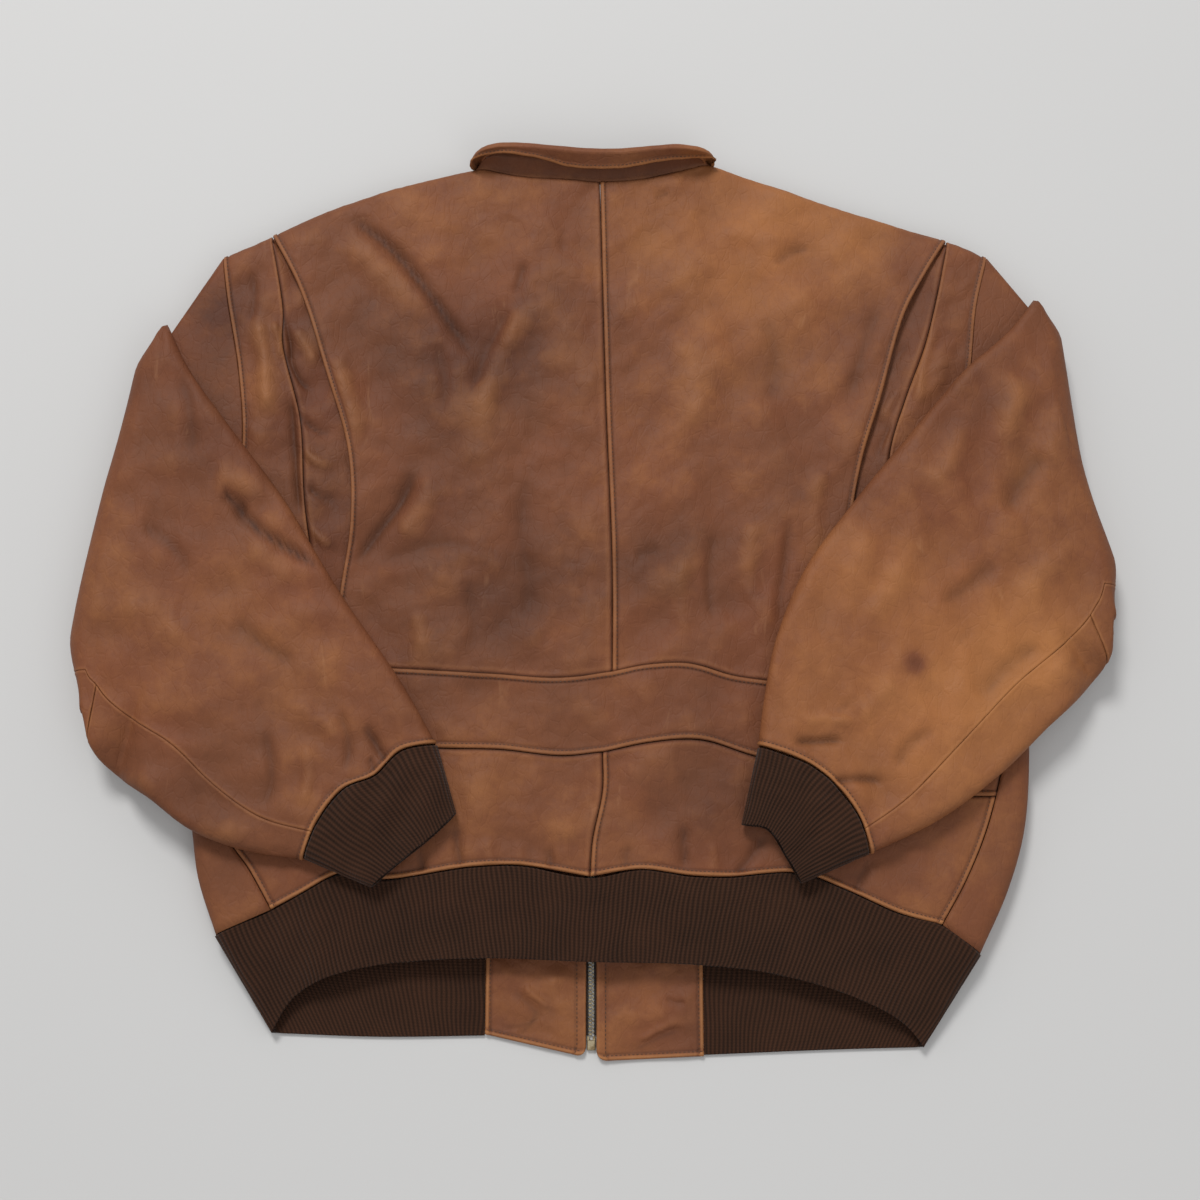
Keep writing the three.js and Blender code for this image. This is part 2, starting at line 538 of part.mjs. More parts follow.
// A profile in y and z, extruded along x and centred on the zip.
function across(shape, width, curveSegments = 12) {
  const geometry = new THREE.ExtrudeGeometry(shape, { depth: width, bevelEnabled: false, curveSegments });
  geometry.rotateY(Math.PI / 2).rotateX(Math.PI / 2).translate(ZIP.x - width / 2, 0, 0);
  return geometry;
}
function slider() {
  const shape = (points) => new THREE.Shape(points.map(([y, z]) => new THREE.Vector2(y, z)));
  const { y, z, barrel, half, lug } = PULL, floor = 0.1, base = 3.6, top = 8.2;
  const body = shape([
    [ZIP_TOP + SEAM, base], [y + 4.6, base], [y + 4.6, top - 1], [y + 3, top], [ZIP_TOP + 2, top],
    [ZIP_TOP + SEAM, top - 1],
  ]);
  const ear = shape([
    [y - 2, base + 0.2], [y - 1.6, floor + 0.4], [y - 1, floor], [y + 1, floor], [y + 1.6, floor + 0.4],
    [y + 2, base + 0.2],
  ]);
  const pin = new THREE.Shape().absarc(y, z, PULL.pin, 0, 2 * Math.PI);
  let made = solid(across(body, 9)).add(solid(across(pin, 2 * (half + SEAM + 0.5))));
  for (const end of [-1, 1])
    made = made.add(solid(across(ear, lug).translate(end * (half + SEAM + lug / 2), 0, 0)));
  add("zip_slider", geometryOf(made), METAL);

  const eye = new THREE.Shape().absarc(y, z, barrel, 0, 2 * Math.PI);
  eye.holes.push(disc(y, z, PULL.bore));
  const blade = shape([
    [y + PULL.bore + 0.2, floor + 0.05], [y + PULL.long, floor + 0.05], [y + PULL.long, floor + PULL.thick],
    [y + PULL.bore + 0.2, floor + PULL.thick],
  ]);
  const tab = solid(across(eye, 2 * half)).add(solid(across(blade, 2 * half)));
  add("zip_pull_tab", geometryOf(tab), METAL);
}

// ---- collar -----------------------------------------------------------------------------------------------------
// The collar runs round the throat from one end of the zip to the other: up from the neck seam as the stand,
// over the roll, and down again outside as the fall.
const NECK = { left: -110, right: 98 };
const COLLAR = {
  seamBack: line([-110, 384], [-70, 375], [-35, 373], [0, 370], [44, 374], [98, 388]),
  seamFront: line([-110, 384], [-92, 352], [-55, 334], [ZIP.x, 330], [42, 334], [78, 352], [98, 388]),
  rollBack: line([-110, 391], [-98, 396], [-86, 397], [-34, 393], [0, 391], [45, 393], [75, 395], [90, 393], [98, 392]),
  rollFront: line([-110, 391], [-90, 390], [0, 388], [80, 390], [98, 392]),
  edgeBack: line([-110, 387], [-90, 390], [-60, 388], [-26, 378], [0, 376], [43, 382], [73, 386], [98, 389]),
  edgeFront: line([-110, 387], [-92, 374], [-55, 360], [ZIP.x, 356], [42, 360], [78, 374], [98, 390]),
  ends: 17, // half the gap between the two ends at the zip
  rise: { back: 14, side: -5, front: -10 }, // how far the roll's inside stands out from the neck, all round
  open: 6, // how far the fall's edge stands off the stand
};
function collar() {
  const width = NECK.right - NECK.left, { total } = onLoop(0, width, EDGE);
  const quarter = (Math.PI * EDGE) / 2, half = width / 2 - EDGE, zipAt = (ZIP.x - (NECK.left + NECK.right) / 2);
  const first = -(quarter + half - zipAt - COLLAR.ends), last = total - (quarter + half - zipAt + COLLAR.ends);
  const loop = between(first, last, 32).map((a) => onLoop(a, width, EDGE));
  const stand = [], fall = [];
  for (const { across: share, high } of loop) {
    const x = lerp(NECK.left, NECK.right, share), w = (high + 1) / 2;
    const y = (back, front) => lerp(yAt(COLLAR[front], x), yAt(COLLAR[back], x), w);
    const [seamY, rollY, edgeY] = [y("seamBack", "seamFront"), y("rollBack", "rollFront"), y("edgeBack", "edgeFront")];
    const { back, side, front } = COLLAR.rise;
    const rise = high > 0 ? lerp(side, back, high) : lerp(side, front, -high);
    const tip = Math.sqrt(1 - high * high) * (share < 0.5 ? -1 : 1);
    const at = (py, out) => xy(x + tip * out, py, EDGE + EDGE * high + high * out);
    const turnY = rollY - COLLAR_ROLL - 1, gap = CURVED / 2;
    const foot = seamY + gap, head = turnY - LEATHER - SEAM;
    stand.push(between(0, 1, 3).map((t) => at(lerp(foot, head, t), rise * smooth(t))));
    const rolled = COLLAR_ROLL + 1;
    const roll = between(-Math.PI / 2, Math.PI / 2, 5).map((angle) =>
      at(turnY + Math.cos(angle) * rolled, rise - LEATHER + rolled * (1 + Math.sin(angle))));
    const onStand = rise * smooth(clamp01((edgeY - seamY) / (turnY - seamY)));
    const hemOut = Math.min(rise + 2 * COLLAR_ROLL, onStand + LEATHER + COLLAR.open);
    const hem = at(Math.min(edgeY, turnY - 1), hemOut);
    fall.push([...roll, mix(roll.at(-1), hem, 0.5), hem]);
  }
  add("collar_stand", wall(quads(stand), LEATHER), LEATHER_DARK);
  add("collar_fall", wall(quads(fall), LEATHER, true), LEATHER_TAN);
}

// ---- assembly -----------------------------------------------------------------------------------------------
for (const [side, s] of Object.entries(SIDES)) {
  backPanels(side, s);
  frontPanel(side, s);
  sleeve(side, s);
  cuff(side, s);
}
belt();
waistband();
zipPanels();
zip();
slider();
collar();
for (const side of Object.keys(SIDES)) {
  trim("gusset_" + side, "back_" + side, "side_panel_" + side, "belt");
  trim("under_sleeve_upper_" + side, "side_panel_" + side, "front_" + side);
  trim("under_sleeve_lower_" + side, "under_sleeve_upper_" + side);
  trim("sleeve_" + side, "side_panel_" + side, "front_" + side);
  trim("lower_back_" + side, "waistband");
}
trim("belt", "back_left", "back_right");
trim("collar_stand", "collar_fall", "front_left", "front_right", "back_left", "back_right");

// The origin is under the middle of the whole jacket's outline.
jacket.position.y = -OUTLINE_MIDDLE_Y;

export default jacket;
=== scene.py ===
# %% [markdown]
# # A worn leather flying jacket, laid face down
# The jacket lies on its front with the zip closed. Both sleeves are folded over the back, so their
# undersides and the knitted cuffs lie on top. Every piece is built where the imported frame says, in
# metres. The frame is loaded first.

# %% Load the frame
import math
import bpy
import numpy as np
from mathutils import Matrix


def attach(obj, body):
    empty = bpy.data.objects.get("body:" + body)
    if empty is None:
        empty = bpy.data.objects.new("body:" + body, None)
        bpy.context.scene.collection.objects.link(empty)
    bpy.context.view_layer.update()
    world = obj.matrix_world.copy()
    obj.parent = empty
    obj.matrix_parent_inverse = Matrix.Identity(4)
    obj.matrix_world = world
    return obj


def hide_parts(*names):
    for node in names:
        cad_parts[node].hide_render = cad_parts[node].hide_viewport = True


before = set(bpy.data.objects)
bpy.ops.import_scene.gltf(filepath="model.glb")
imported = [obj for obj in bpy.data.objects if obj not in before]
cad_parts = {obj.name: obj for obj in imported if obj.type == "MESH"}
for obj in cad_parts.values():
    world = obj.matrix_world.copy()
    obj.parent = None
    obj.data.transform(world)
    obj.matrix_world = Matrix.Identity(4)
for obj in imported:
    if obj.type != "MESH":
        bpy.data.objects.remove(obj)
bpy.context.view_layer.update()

# %% [markdown]
# ## Camera
# The real jacket is seen from above its hem, a little off the vertical. A camera with a normal lens
# looks down at the middle of the jacket. The distance and the lens together set how much of the floor
# shows round it.

# %% Camera
LOOK_UP = math.radians(78)  # the camera's height over the floor, as an angle at the jacket
LOOK_FROM = 1.5  # metres from the camera to the middle of the jacket
LOOK_AT = (0.0, -0.0128, 0.015)
LENS, SENSOR = 54.2, 36.0


def add_camera():
    camera = bpy.data.cameras.new("camera")
    camera.lens, camera.sensor_width = LENS, SENSOR
    holder = bpy.data.objects.new("camera", camera)
    bpy.context.scene.collection.objects.link(holder)
    back = LOOK_FROM * math.cos(LOOK_UP)
    holder.location = (LOOK_AT[0], LOOK_AT[1] - back, LOOK_AT[2] + LOOK_FROM * math.sin(LOOK_UP))
    holder.rotation_euler = (math.pi / 2 - LOOK_UP, 0, 0)
    bpy.context.scene.camera = holder


add_camera()

# %% [markdown]
# ## Floor and light
# The jacket lies on a plain pale floor. A wide soft lamp stands over the collar's side and a weaker one
# over the hem, as in a product studio, so creases and seams cast short soft shadows towards the hem.

# %% Floor and light
FLOOR_DROP = 0.0004  # keeps the floor off the jacket's flat underside
FLOOR_WIDE = 12.0


def add_floor():
    bpy.ops.mesh.primitive_plane_add(size=FLOOR_WIDE, location=(0, 0, -FLOOR_DROP))
    floor = bpy.context.object
    floor.name = "floor"
    floor.data.transform(floor.matrix_world)
    floor.matrix_world.identity()
    paint = bpy.data.materials.new("floor_paint")
    paint.use_nodes = True
    shader = paint.node_tree.nodes["Principled BSDF"]
    shader.inputs["Base Color"].default_value = (0.55, 0.545, 0.535, 1)
    shader.inputs["Roughness"].default_value = 0.9
    floor.data.materials.append(paint)


def add_lamp(name, place, size, power, target=(0, 0, 0)):
    lamp = bpy.data.lights.new(name, "AREA")
    lamp.shape, lamp.size, lamp.energy = "DISK", size, power
    holder = bpy.data.objects.new(name, lamp)
    bpy.context.scene.collection.objects.link(holder)
    holder.location = place
    aim = np.array(target) - np.array(place)
    flat = math.hypot(aim[0], aim[1])
    holder.rotation_euler = (math.atan2(flat, -aim[2]), 0, math.atan2(-aim[0], aim[1]))


def add_world(strength):
    world = bpy.data.worlds.new("studio")
    world.use_nodes = True
    sky = world.node_tree.nodes["Background"]
    sky.inputs["Color"].default_value = (0.98, 0.985, 1.0, 1)
    sky.inputs["Strength"].default_value = strength
    bpy.context.scene.world = world


bpy.context.scene.view_settings.view_transform = "Standard"
add_floor()
add_lamp("key", (-0.9, 2.6, 3.4), 1.3, 120)
add_lamp("fill", (0.9, -1.6, 2.0), 1.8, 8)
add_world(0.6)

# %% [markdown]
# ## Outlines and seams in plan
# A pattern cutter draws each edge as a line through a few points. The lines here are smooth curves
# through such points, in millimetres on the floor, the same ones that the solid pieces were built from.
# A point on a line is read by its share of the length, so two pieces that share a seam share its curve.

# %% Smooth plan lines
MM = 0.001
MIDDLE_Y = 12.8  # the outlines are laid out from a point this far from the jacket's middle


class Line:
    """A smooth line through points in millimetres, called with shares of its length."""

    def __init__(self, *points, steps=40):
        p = np.array(points, float)
        p = np.vstack([2 * p[0] - p[1], p, 2 * p[-1] - p[-2]])
        pieces = [self.span(p[i - 1 : i + 3], steps) for i in range(1, len(p) - 2)]
        self.points = np.vstack([*pieces, p[-2]])
        walked = np.concatenate([[0], np.cumsum(np.linalg.norm(np.diff(self.points, axis=0), axis=1))])
        self.length = walked[-1]
        self.share = walked / self.length

    @staticmethod
    def span(p, steps):
        gap = np.sqrt(np.linalg.norm(np.diff(p, axis=0), axis=1))
        chord = p[2] - p[1]
        leave = chord + gap[1] * ((p[1] - p[0]) / gap[0] - (p[2] - p[0]) / (gap[0] + gap[1]))
        enter = chord + gap[1] * ((p[3] - p[2]) / gap[2] - (p[3] - p[1]) / (gap[1] + gap[2]))
        t = np.linspace(0, 1, steps, endpoint=False)[:, None]
        return (leave + enter - 2 * chord) * t**3 + (3 * chord - 2 * leave - enter) * t**2 + leave * t + p[1]

    def __call__(self, t):
        t = np.clip(t, 0, 1)
        return np.stack([np.interp(t, self.share, column) for column in self.points.T], -1)

    def share_near(self, point):
        return self.share[np.argmin(np.linalg.norm(self.points - np.array(point), axis=1))]

    def y_at(self, x):
        order = np.argsort(self.points[:, 0])
        return np.interp(x, self.points[order, 0], self.points[order, 1])


def part(line, start, end):
    return lambda t: line(start + (end - start) * np.asarray(t, float))


def join(first, second, share):
    def whole(t):
        t = np.asarray(t, float)
        return np.where((t < share)[..., None], first(t / share), second((t - share) / (1 - share)))
    return whole


def mix(a, b, t):
    t = np.asarray(t, float)
    return a + (b - a) * (t[..., None] if np.ndim(a) > np.ndim(t) else t)


def smooth(t):
    t = np.clip(t, 0, 1)
    return t * t * (3 - 2 * t)


# %% [markdown]
# ## The two sides of the pattern
# A jacket laid down by hand isn't symmetrical, so the left and right sides have their own lines. Each
# side is drawn once, from the neck to the hem and out along the folded sleeve, and every piece takes its
# edges from these lines, so the two pieces of a seam are sure to meet.

# %% The two sides of the pattern
ZIP_X = -7.0
LEFT = dict(
    name="left", sign=-1,
    shoulder=Line([-110, 384], [-175, 367], [-235, 346], [-284, 322], [-325, 302]),
    armhole=Line([-325, 302], [-319, 261], [-307, 198], [-301, 136], [-305, 98], [-317, 60], [-337, 20]),
    edge=Line([-337, 20], [-342, -60], [-340, -130], [-330, -194], [-324, -230], [-308, -274]),
    seam=Line([-337, 20], [-337, -50], [-322, -120], [-300, -195], [-281, -222], [-262, -254]),
    pleat=Line([-284, 322], [-257, 269], [-233, 197], [-212, 127], [-208, 66], [-215, 7], [-221, -59]),
    gusset=Line([-284, 322], [-271, 252], [-270, 221], [-253, 154], [-247, 84], [-237, 15], [-236, -60]),
    belt=Line([-333, -82], [-290, -68], [-221, -59], [-98, -63], [-33, -67], [10, -62]),
    yoke=Line([-320, -128], [-270, -120], [-200, -122], [-132, -125], [-81, -126], [-32, -131], [2, -128]),
    waist=Line([-262, -254], [-240, -242], [-204, -224], [-176, -230], [-104, -220], [-64, -219], [-8, -228]),
    neck=Line([-110, 384], [-70, 375], [-35, 373], [0, 370]),
    front_neck=Line([-110, 384], [-92, 352], [-55, 334], [ZIP_X, 330]),
    front_waist=Line([-308, -274], [-240, -280], [-150, -283], [ZIP_X, -286]),
    fold=Line([-366, 234], [-382, 144], [-395, 83], [-412, -19], [-418, -98]),
    over=Line([-366, 234], [-345, 193], [-300, 132], [-261, 80], [-230, 29], [-209, -4], [-162, -71],
              [-131, -124]),
    under=Line([-418, -98], [-409, -128], [-390, -148], [-361, -167], [-328, -191], [-287, -207],
               [-235, -215]),
    cuff_seam=Line([-131, -124], [-159, -130], [-180, -150], [-204, -160], [-224, -186], [-235, -215]),
    cuff_end=Line([-115, -178], [-137, -199], [-163, -220], [-182, -237]),
    elbow=0.1, covered=30,
)
RIGHT = dict(
    name="right", sign=1,
    shoulder=Line([98, 388], [140, 372], [218, 344], [261, 330], [300, 317], [334, 302]),
    armhole=Line([334, 302], [322, 255], [317, 216], [310, 150], [312, 105], [322, 62], [342, 20]),
    edge=Line([342, 20], [350, -50], [351, -120], [344, -190], [328, -240], [304, -289]),
    seam=Line([342, 20], [345, -50], [325, -142], [311, -190], [293, -230], [272, -266]),
    pleat=Line([300, 317], [279, 283], [260, 247], [237, 171], [220, 118], [210, 60], [212, -10], [214, -79]),
    gusset=Line([300, 317], [290, 270], [277, 221], [258, 171], [244, 127], [238, 60], [232, 0], [230, -82]),
    belt=Line([338, -105], [270, -92], [214, -79], [135, -69], [110, -65], [74, -55], [41, -56], [10, -62]),
    yoke=Line([318, -164], [289, -163], [200, -148], [127, -132], [81, -118], [41, -120], [2, -128]),
    waist=Line([272, -266], [239, -257], [196, -238], [160, -225], [102, -228], [72, -227], [32, -222],
               [-8, -228]),
    neck=Line([98, 388], [44, 374], [0, 370]),
    front_neck=Line([98, 388], [78, 352], [42, 334], [ZIP_X, 330]),
    front_waist=Line([304, -289], [240, -290], [150, -288], [ZIP_X, -286]),
    fold=Line([368, 256], [374, 197], [384, 109], [405, 32], [420, -20]),
    over=Line([368, 256], [346, 229], [303, 189], [254, 132], [211, 80], [168, 21], [143, -38], [134, -79],
              [127, -126]),
    under=Line([420, -20], [414, -56], [356, -115], [322, -147], [272, -183], [214, -211]),
    cuff_seam=Line([127, -126], [152, -134], [172, -144], [190, -160], [206, -184], [214, -211]),
    cuff_end=Line([113, -187], [134, -191], [148, -212], [160, -234]),
    elbow=0.13, covered=82,
)
SIDES = (LEFT, RIGHT)
CENTRE_BACK = Line([10, -62], [10, 32], [5, 171], [0, 370])
CENTRE_LOW = Line([-8, -228], [-6, -199], [2, -159], [2, -128])
print("back length along the centre seam:", round(CENTRE_BACK.length), "mm")

# %% [markdown]
# ## The form of the laid jacket
# The body is a flattened tube. Where the front and back meet, at the shoulders and sides, it turns over
# a rounded edge. Each form below gives a height in millimetres for a place in plan. It is worked out
# from the distance to the nearest edge of the body, so a panel needn't know which part of the edge it
# lies at.

# %% Heights of the body
BODY_HIGH, SLEEVE_HIGH, CUFF_HIGH, BAND_HIGH = 24.0, 18.0, 15.0, 21.0
EDGE = BODY_HIGH / 2
LAYER_GAP = 0.8
LEATHER_WALL, RIB_WALL = 1.6, 2.2
PLEAT_LIFT, PLEAT_TUCK = 3.0, 9.0


def over_edge(distance, radius):
    return np.sqrt(np.clip(1 - (1 - np.clip(distance / radius, 0, 1)) ** 2, 0, 1))


def near(places, line_points, chunk=4000):
    """Distance from each place to a line of points, and the share of the line where it is nearest."""
    flat = places.reshape(-1, 2)
    a, d = line_points[:-1], np.diff(line_points, axis=0)
    walked = np.concatenate([[0], np.cumsum(np.linalg.norm(d, axis=1))])
    best, share = np.empty(len(flat)), np.empty(len(flat))
    for k in range(0, len(flat), chunk):
        p = flat[k : k + chunk, None]
        t = np.clip(((p - a) * d).sum(-1) / ((d * d).sum(-1) + 1e-12), 0, 1)
        gap = np.linalg.norm(a + d * t[..., None] - p, axis=-1)
        i = gap.argmin(1)
        row = np.arange(len(i))
        best[k : k + chunk] = gap[row, i]
        share[k : k + chunk] = (walked[i] + t[row, i] * np.diff(walked)[i]) / walked[-1]
    return best.reshape(places.shape[:-1]), share.reshape(places.shape[:-1])


def edge_distance(xy):
    left = np.minimum(*[near(xy, LEFT[k].points[::4])[0] for k in ("shoulder", "edge")])
    right = np.minimum(*[near(xy, RIGHT[k].points[::4])[0] for k in ("shoulder", "edge")])
    return np.where(xy[..., 0] < 0, left, right)


def back_height(xy):
    return EDGE + EDGE * over_edge(edge_distance(xy), EDGE)


def front_height(xy):
    return EDGE - EDGE * over_edge(edge_distance(xy), EDGE)


print("height in the middle of the back:", back_height(np.array([[0.0, 100.0]]))[0], "mm")

# %% [markdown]
# ## Creases
# Worn leather keeps the folds it was left in. Each crease is a short line with a half width and a
# height, both in millimetres. A height below zero is a fold pressed in, which is narrower and sharper
# than a ridge is.

# %% Where the leather creases
BACK_CREASES = [
    ([(-226, 344), (-183, 311), (-152, 274), (-131, 245), (-100, 200)], 8, -3.5),
    ([(-225, 322), (-190, 292), (-162, 258)], 18, 1.6),
    ([(-58, 263), (-81, 218), (-95, 172), (-104, 128)], 14, 2.0),
    ([(-74, 258), (-97, 214), (-112, 168)], 8, -1.8),
    ([(-64, 295), (-74, 263)], 6, -1.6),
    ([(-140, 226), (-132, 187), (-134, 151)], 8, -1.5),
    ([(-153, 115), (-167, 82), (-184, 57), (-207, 23)], 8, -2.6),
    ([(-140, 106), (-152, 74), (-168, 46)], 12, 1.6),
    ([(-225, 218), (-211, 166), (-202, 128)], 9, 1.8),
    ([(-188, 29), (-132, 46), (-90, 40)], 9, -1.2),
    ([(-60, 110), (-66, 60), (-58, 10), (-62, -30)], 14, -1.6),
    ([(-110, 20), (-104, -20), (-108, -55)], 9, -1.2),
    ([(-150, -10), (-146, -50)], 8, 1.2),
    ([(-30, 330), (-34, 300)], 6, -0.8),
    ([(47, 354), (61, 360)], 5, -1.4),
    ([(148, 292), (164, 304), (183, 311)], 6, -1.6),
    ([(90, 330), (128, 318), (170, 322)], 10, 1.0),
    ([(27, 36), (53, 43)], 7, -1.2),
    ([(159, 74), (152, 20), (144, -34)], 7, -1.8),
    ([(130, 70), (122, 30), (126, -20)], 10, 1.4),
    ([(96, 60), (90, 15), (94, -30)], 7, -1.2),
    ([(70, 40), (66, 0), (72, -40)], 8, 1.0),
    ([(186, 120), (180, 70), (184, 20)], 8, 1.2),
    ([(60, 240), (80, 190), (84, 140)], 16, 1.6),
    ([(140, 250), (150, 200), (140, 160)], 16, -1.4),
    ([(240, 262), (222, 210), (206, 160)], 8, -1.6),
    ([(-312, 190), (-310, 153)], 7, -3.2),
    ([(-293, 250), (-284, 200), (-280, 150)], 8, 2.4),
    ([(-262, 180), (-256, 120), (-250, 60)], 5, -2.2),
    ([(285, 240), (272, 200), (268, 160)], 6, 2.0),
    ([(-268, 215), (-255, 190), (-240, 176)], 4, -2.2), ([(-262, 236), (-248, 214), (-240, 200)], 5, 1.9),
    ([(-258, 160), (-240, 146), (-224, 140)], 4, -2.2), ([(-252, 128), (-236, 116), (-222, 112)], 4, 2.0),
    ([(-246, 96), (-232, 86), (-220, 84)], 4, -2.2), ([(-244, 60), (-230, 48), (-220, 44)], 4, 1.8),
    ([(-279, 242), (-272, 222), (-272, 204)], 4, 2.2), ([(-272, 250), (-264, 224), (-262, 200)], 4, -2.0),
    ([(262, 224), (250, 206), (244, 190)], 4, -1.1), ([(256, 184), (244, 166), (238, 150)], 4, 1.1),
    ([(246, 150), (236, 132), (232, 116)], 4, -1.1), ([(-300, 288), (-296, 262), (-300, 236)], 5, -1.2),
    ([(-142, -227), (-146, -199)], 5, -1.8), ([(-112, -223), (-117, -183)], 5, -1.8),
    ([(-88, -221), (-90, -196)], 5, 1.2), ([(-38, -227), (-42, -203)], 5, -1.5),
    ([(-64, -220), (-66, -198)], 5, 1.0), ([(20, -224), (22, -200)], 5, -1.2),
    ([(68, -223), (67, -183)], 5, -1.8), ([(92, -228), (90, -198)], 5, 1.2),
    ([(108, -228), (124, -208), (138, -191)], 6, -1.8), ([(160, -226), (156, -200)], 5, -1.4),
    ([(218, -211), (210, -228), (201, -244)], 6, -1.8), ([(-200, -226), (-196, -196)], 5, -1.4),
]
SLEEVE_CREASES = [
    ([(-313, 86), (-300, 77), (-290, 66)], 6, -3.4),
    ([(-308, 78), (-286, 58), (-260, 40), (-222, 18)], 6, -3.4),
    ([(-320, 104), (-296, 92), (-274, 72)], 12, 1.5),
    ([(-290, 38), (-268, 24), (-250, 6)], 12, 1.4),
    ([(-352, 190), (-340, 150), (-338, 110)], 12, -1.8),
    ([(-380, 60), (-352, 40), (-330, 12)], 10, -1.6),
    ([(-396, -10), (-360, -20), (-330, -44)], 12, 1.6),
    ([(-300, -20), (-268, -46), (-240, -60)], 10, -1.6),
    ([(-250, -90), (-222, -106), (-200, -128)], 9, 1.4),
    ([(-190, -107), (-178, -127), (-169, -141)], 5, -2.6),
    ([(-185, -134), (-180, -147)], 4, -1.8),
    ([(-210, -96), (-202, -124), (-204, -150)], 6, -1.6),
    ([(-236, -120), (-232, -150), (-240, -176)], 7, 1.4),
    ([(-270, -110), (-262, -146), (-268, -180)], 8, -1.6),
    ([(153, -122), (178, -121), (200, -120)], 5, -2.6),
    ([(183, -154), (206, -152), (231, -153)], 5, -2.4),
    ([(160, -106), (186, -104), (212, -108)], 6, 1.6),
    ([(176, -112), (210, -81)], 4, -0.8),
    ([(356, 190), (342, 150), (330, 120)], 12, 1.8),
    ([(372, 120), (350, 96), (330, 60)], 11, -1.8),
    ([(300, 150), (288, 110), (262, 84)], 10, 1.6),
    ([(392, 40), (362, 20), (334, -10)], 12, 1.6),
    ([(330, 30), (300, 6), (270, -12)], 11, -1.8),
    ([(360, -40), (330, -60), (306, -90)], 9, -1.6),
    ([(250, 30), (232, 0), (214, -26)], 10, 1.4),
    ([(288, -42), (303, -28)], 4, -0.7),
    ([(240, -70), (218, -92), (206, -112)], 8, 1.4),
    ([(270, -110), (246, -126), (236, -146)], 7, -1.6),
]
print("creases:", len(BACK_CREASES) + len(SLEEVE_CREASES))

# %% [markdown]
# ## Waves, and where a sleeve presses
# Soft leather also undulates all over, which a few slow waves of different lengths imitate. Their
# directions and sizes are drawn at random from a fixed seed, so they come out the same each time. Where
# a folded sleeve lies on the body, the leather under it is pressed calm.

# %% Crease and wave heights
CREASE_DEPTH = 2.2
PRESSED_ROUND = 14.0  # millimetres over which the calm under a sleeve fades out


def creased(xy, creases):
    total = np.zeros(xy.shape[:-1])
    for points, width, high in creases:
        line = Line(*points).points[::3]
        middle, reach = line.mean(0), np.abs(line - line.mean(0)).max() + 3 * width
        close = np.abs(xy - middle).max(-1) < reach
        if close.any():
            gap, share = near(xy[close], line)
            slim = width * (0.62 if high < 0 else 0.9)
            fade = smooth(share * 5) * smooth((1 - share) * 4)
            total[close] += CREASE_DEPTH * high * np.exp(-((gap / slim) ** (1.35 if high < 0 else 2))) * fade
    return total


def waves(xy, sizes, seed):
    """Slow waves: sizes is a list of (wavelength, height, count)."""
    rng = np.random.default_rng(seed)
    total = np.zeros(xy.shape[:-1])
    for wavelength, high, count in sizes:
        for _ in range(count):
            angle, phase = rng.uniform(0, math.pi), rng.uniform(0, 2 * math.pi)
            k = 2 * math.pi / (wavelength * rng.uniform(0.7, 1.4))
            bend = (0.9 * np.sin(xy[..., 1] * k * 0.37 + phase * 3)
                    + 0.7 * np.sin(xy[..., 0] * k * 0.29 + phase))
            total += high / math.sqrt(count) * np.sin(
                k * (xy[..., 0] * math.cos(angle) + xy[..., 1] * math.sin(angle)) + phase + bend)
    return total


def inside(xy, outline):
    x, y = xy[..., 0], xy[..., 1]
    within = np.zeros(x.shape, bool)
    for (x0, y0), (x1, y1) in zip(outline, np.roll(outline, -1, 0)):
        crosses = (y0 > y) != (y1 > y)
        within ^= crosses & (x < (x1 - x0) * (y - y0) / (y1 - y0 + 1e-9) + x0)
    return within


def covered(xy):
    """1 where a folded sleeve or cuff lies on the body, 0 well clear of it."""
    hidden = np.zeros(xy.shape[:-1])
    for s in SIDES:
        shares = np.linspace(0, 1, 24)
        outline = np.vstack([s["over"](shares), s["cuff_end"](shares), s["under"](shares[::-1]),
                             s["fold"](shares[::-1])])
        gap, _ = near(xy, np.vstack([outline, outline[:1]]))
        hidden = np.maximum(hidden, np.where(inside(xy, outline), 1, 1 - smooth(gap / PRESSED_ROUND)))
    return hidden


print("calm at the left elbow:", covered(np.array([[-300.0, 0.0]]))[0])

# %% [markdown]
# ## Faded and darkened patches
# Leather fades where it is rubbed and lit, and some patches are darker. Each patch is a soft round
# spot: place, radius and amount, where above 0 is lighter and more golden and below 0 is darker.

# %% Tones of the hide
TONES = [
    (-200, 350, 70, 0.1), (-60, 350, 80, 0.05), (-100, 200, 80, -0.25), (120, 345, 80, 0.6),
    (230, 320, 60, 0.5), (160, 250, 70, 0.35), (60, 300, 60, 0.3), (-220, 300, 40, -0.05),
    (-313, 246, 34, -1.2), (-270, 217, 30, -0.4), (-128, 233, 45, -0.45), (-68, 206, 45, -0.4),
    (-142, 83, 50, -0.45), (-100, 30, 60, -0.35), (-60, -20, 60, -0.25), (60, 20, 60, -0.3),
    (140, -10, 50, -0.25), (80, 100, 60, -0.1), (238, 202, 34, -0.3), (-260, 150, 40, -0.4),
    (-300, 230, 40, 0.15), (110, 190, 60, 0.25),
    (160, -160, 60, -0.25), (-80, -165, 70, 0.45), (90, -180, 50, -0.3), (180, -90, 60, -0.5),
    (70, -95, 60, -0.3), (-170, 200, 60, -0.3), (-250, 200, 40, -0.5), (-240, 60, 40, -0.6),
]
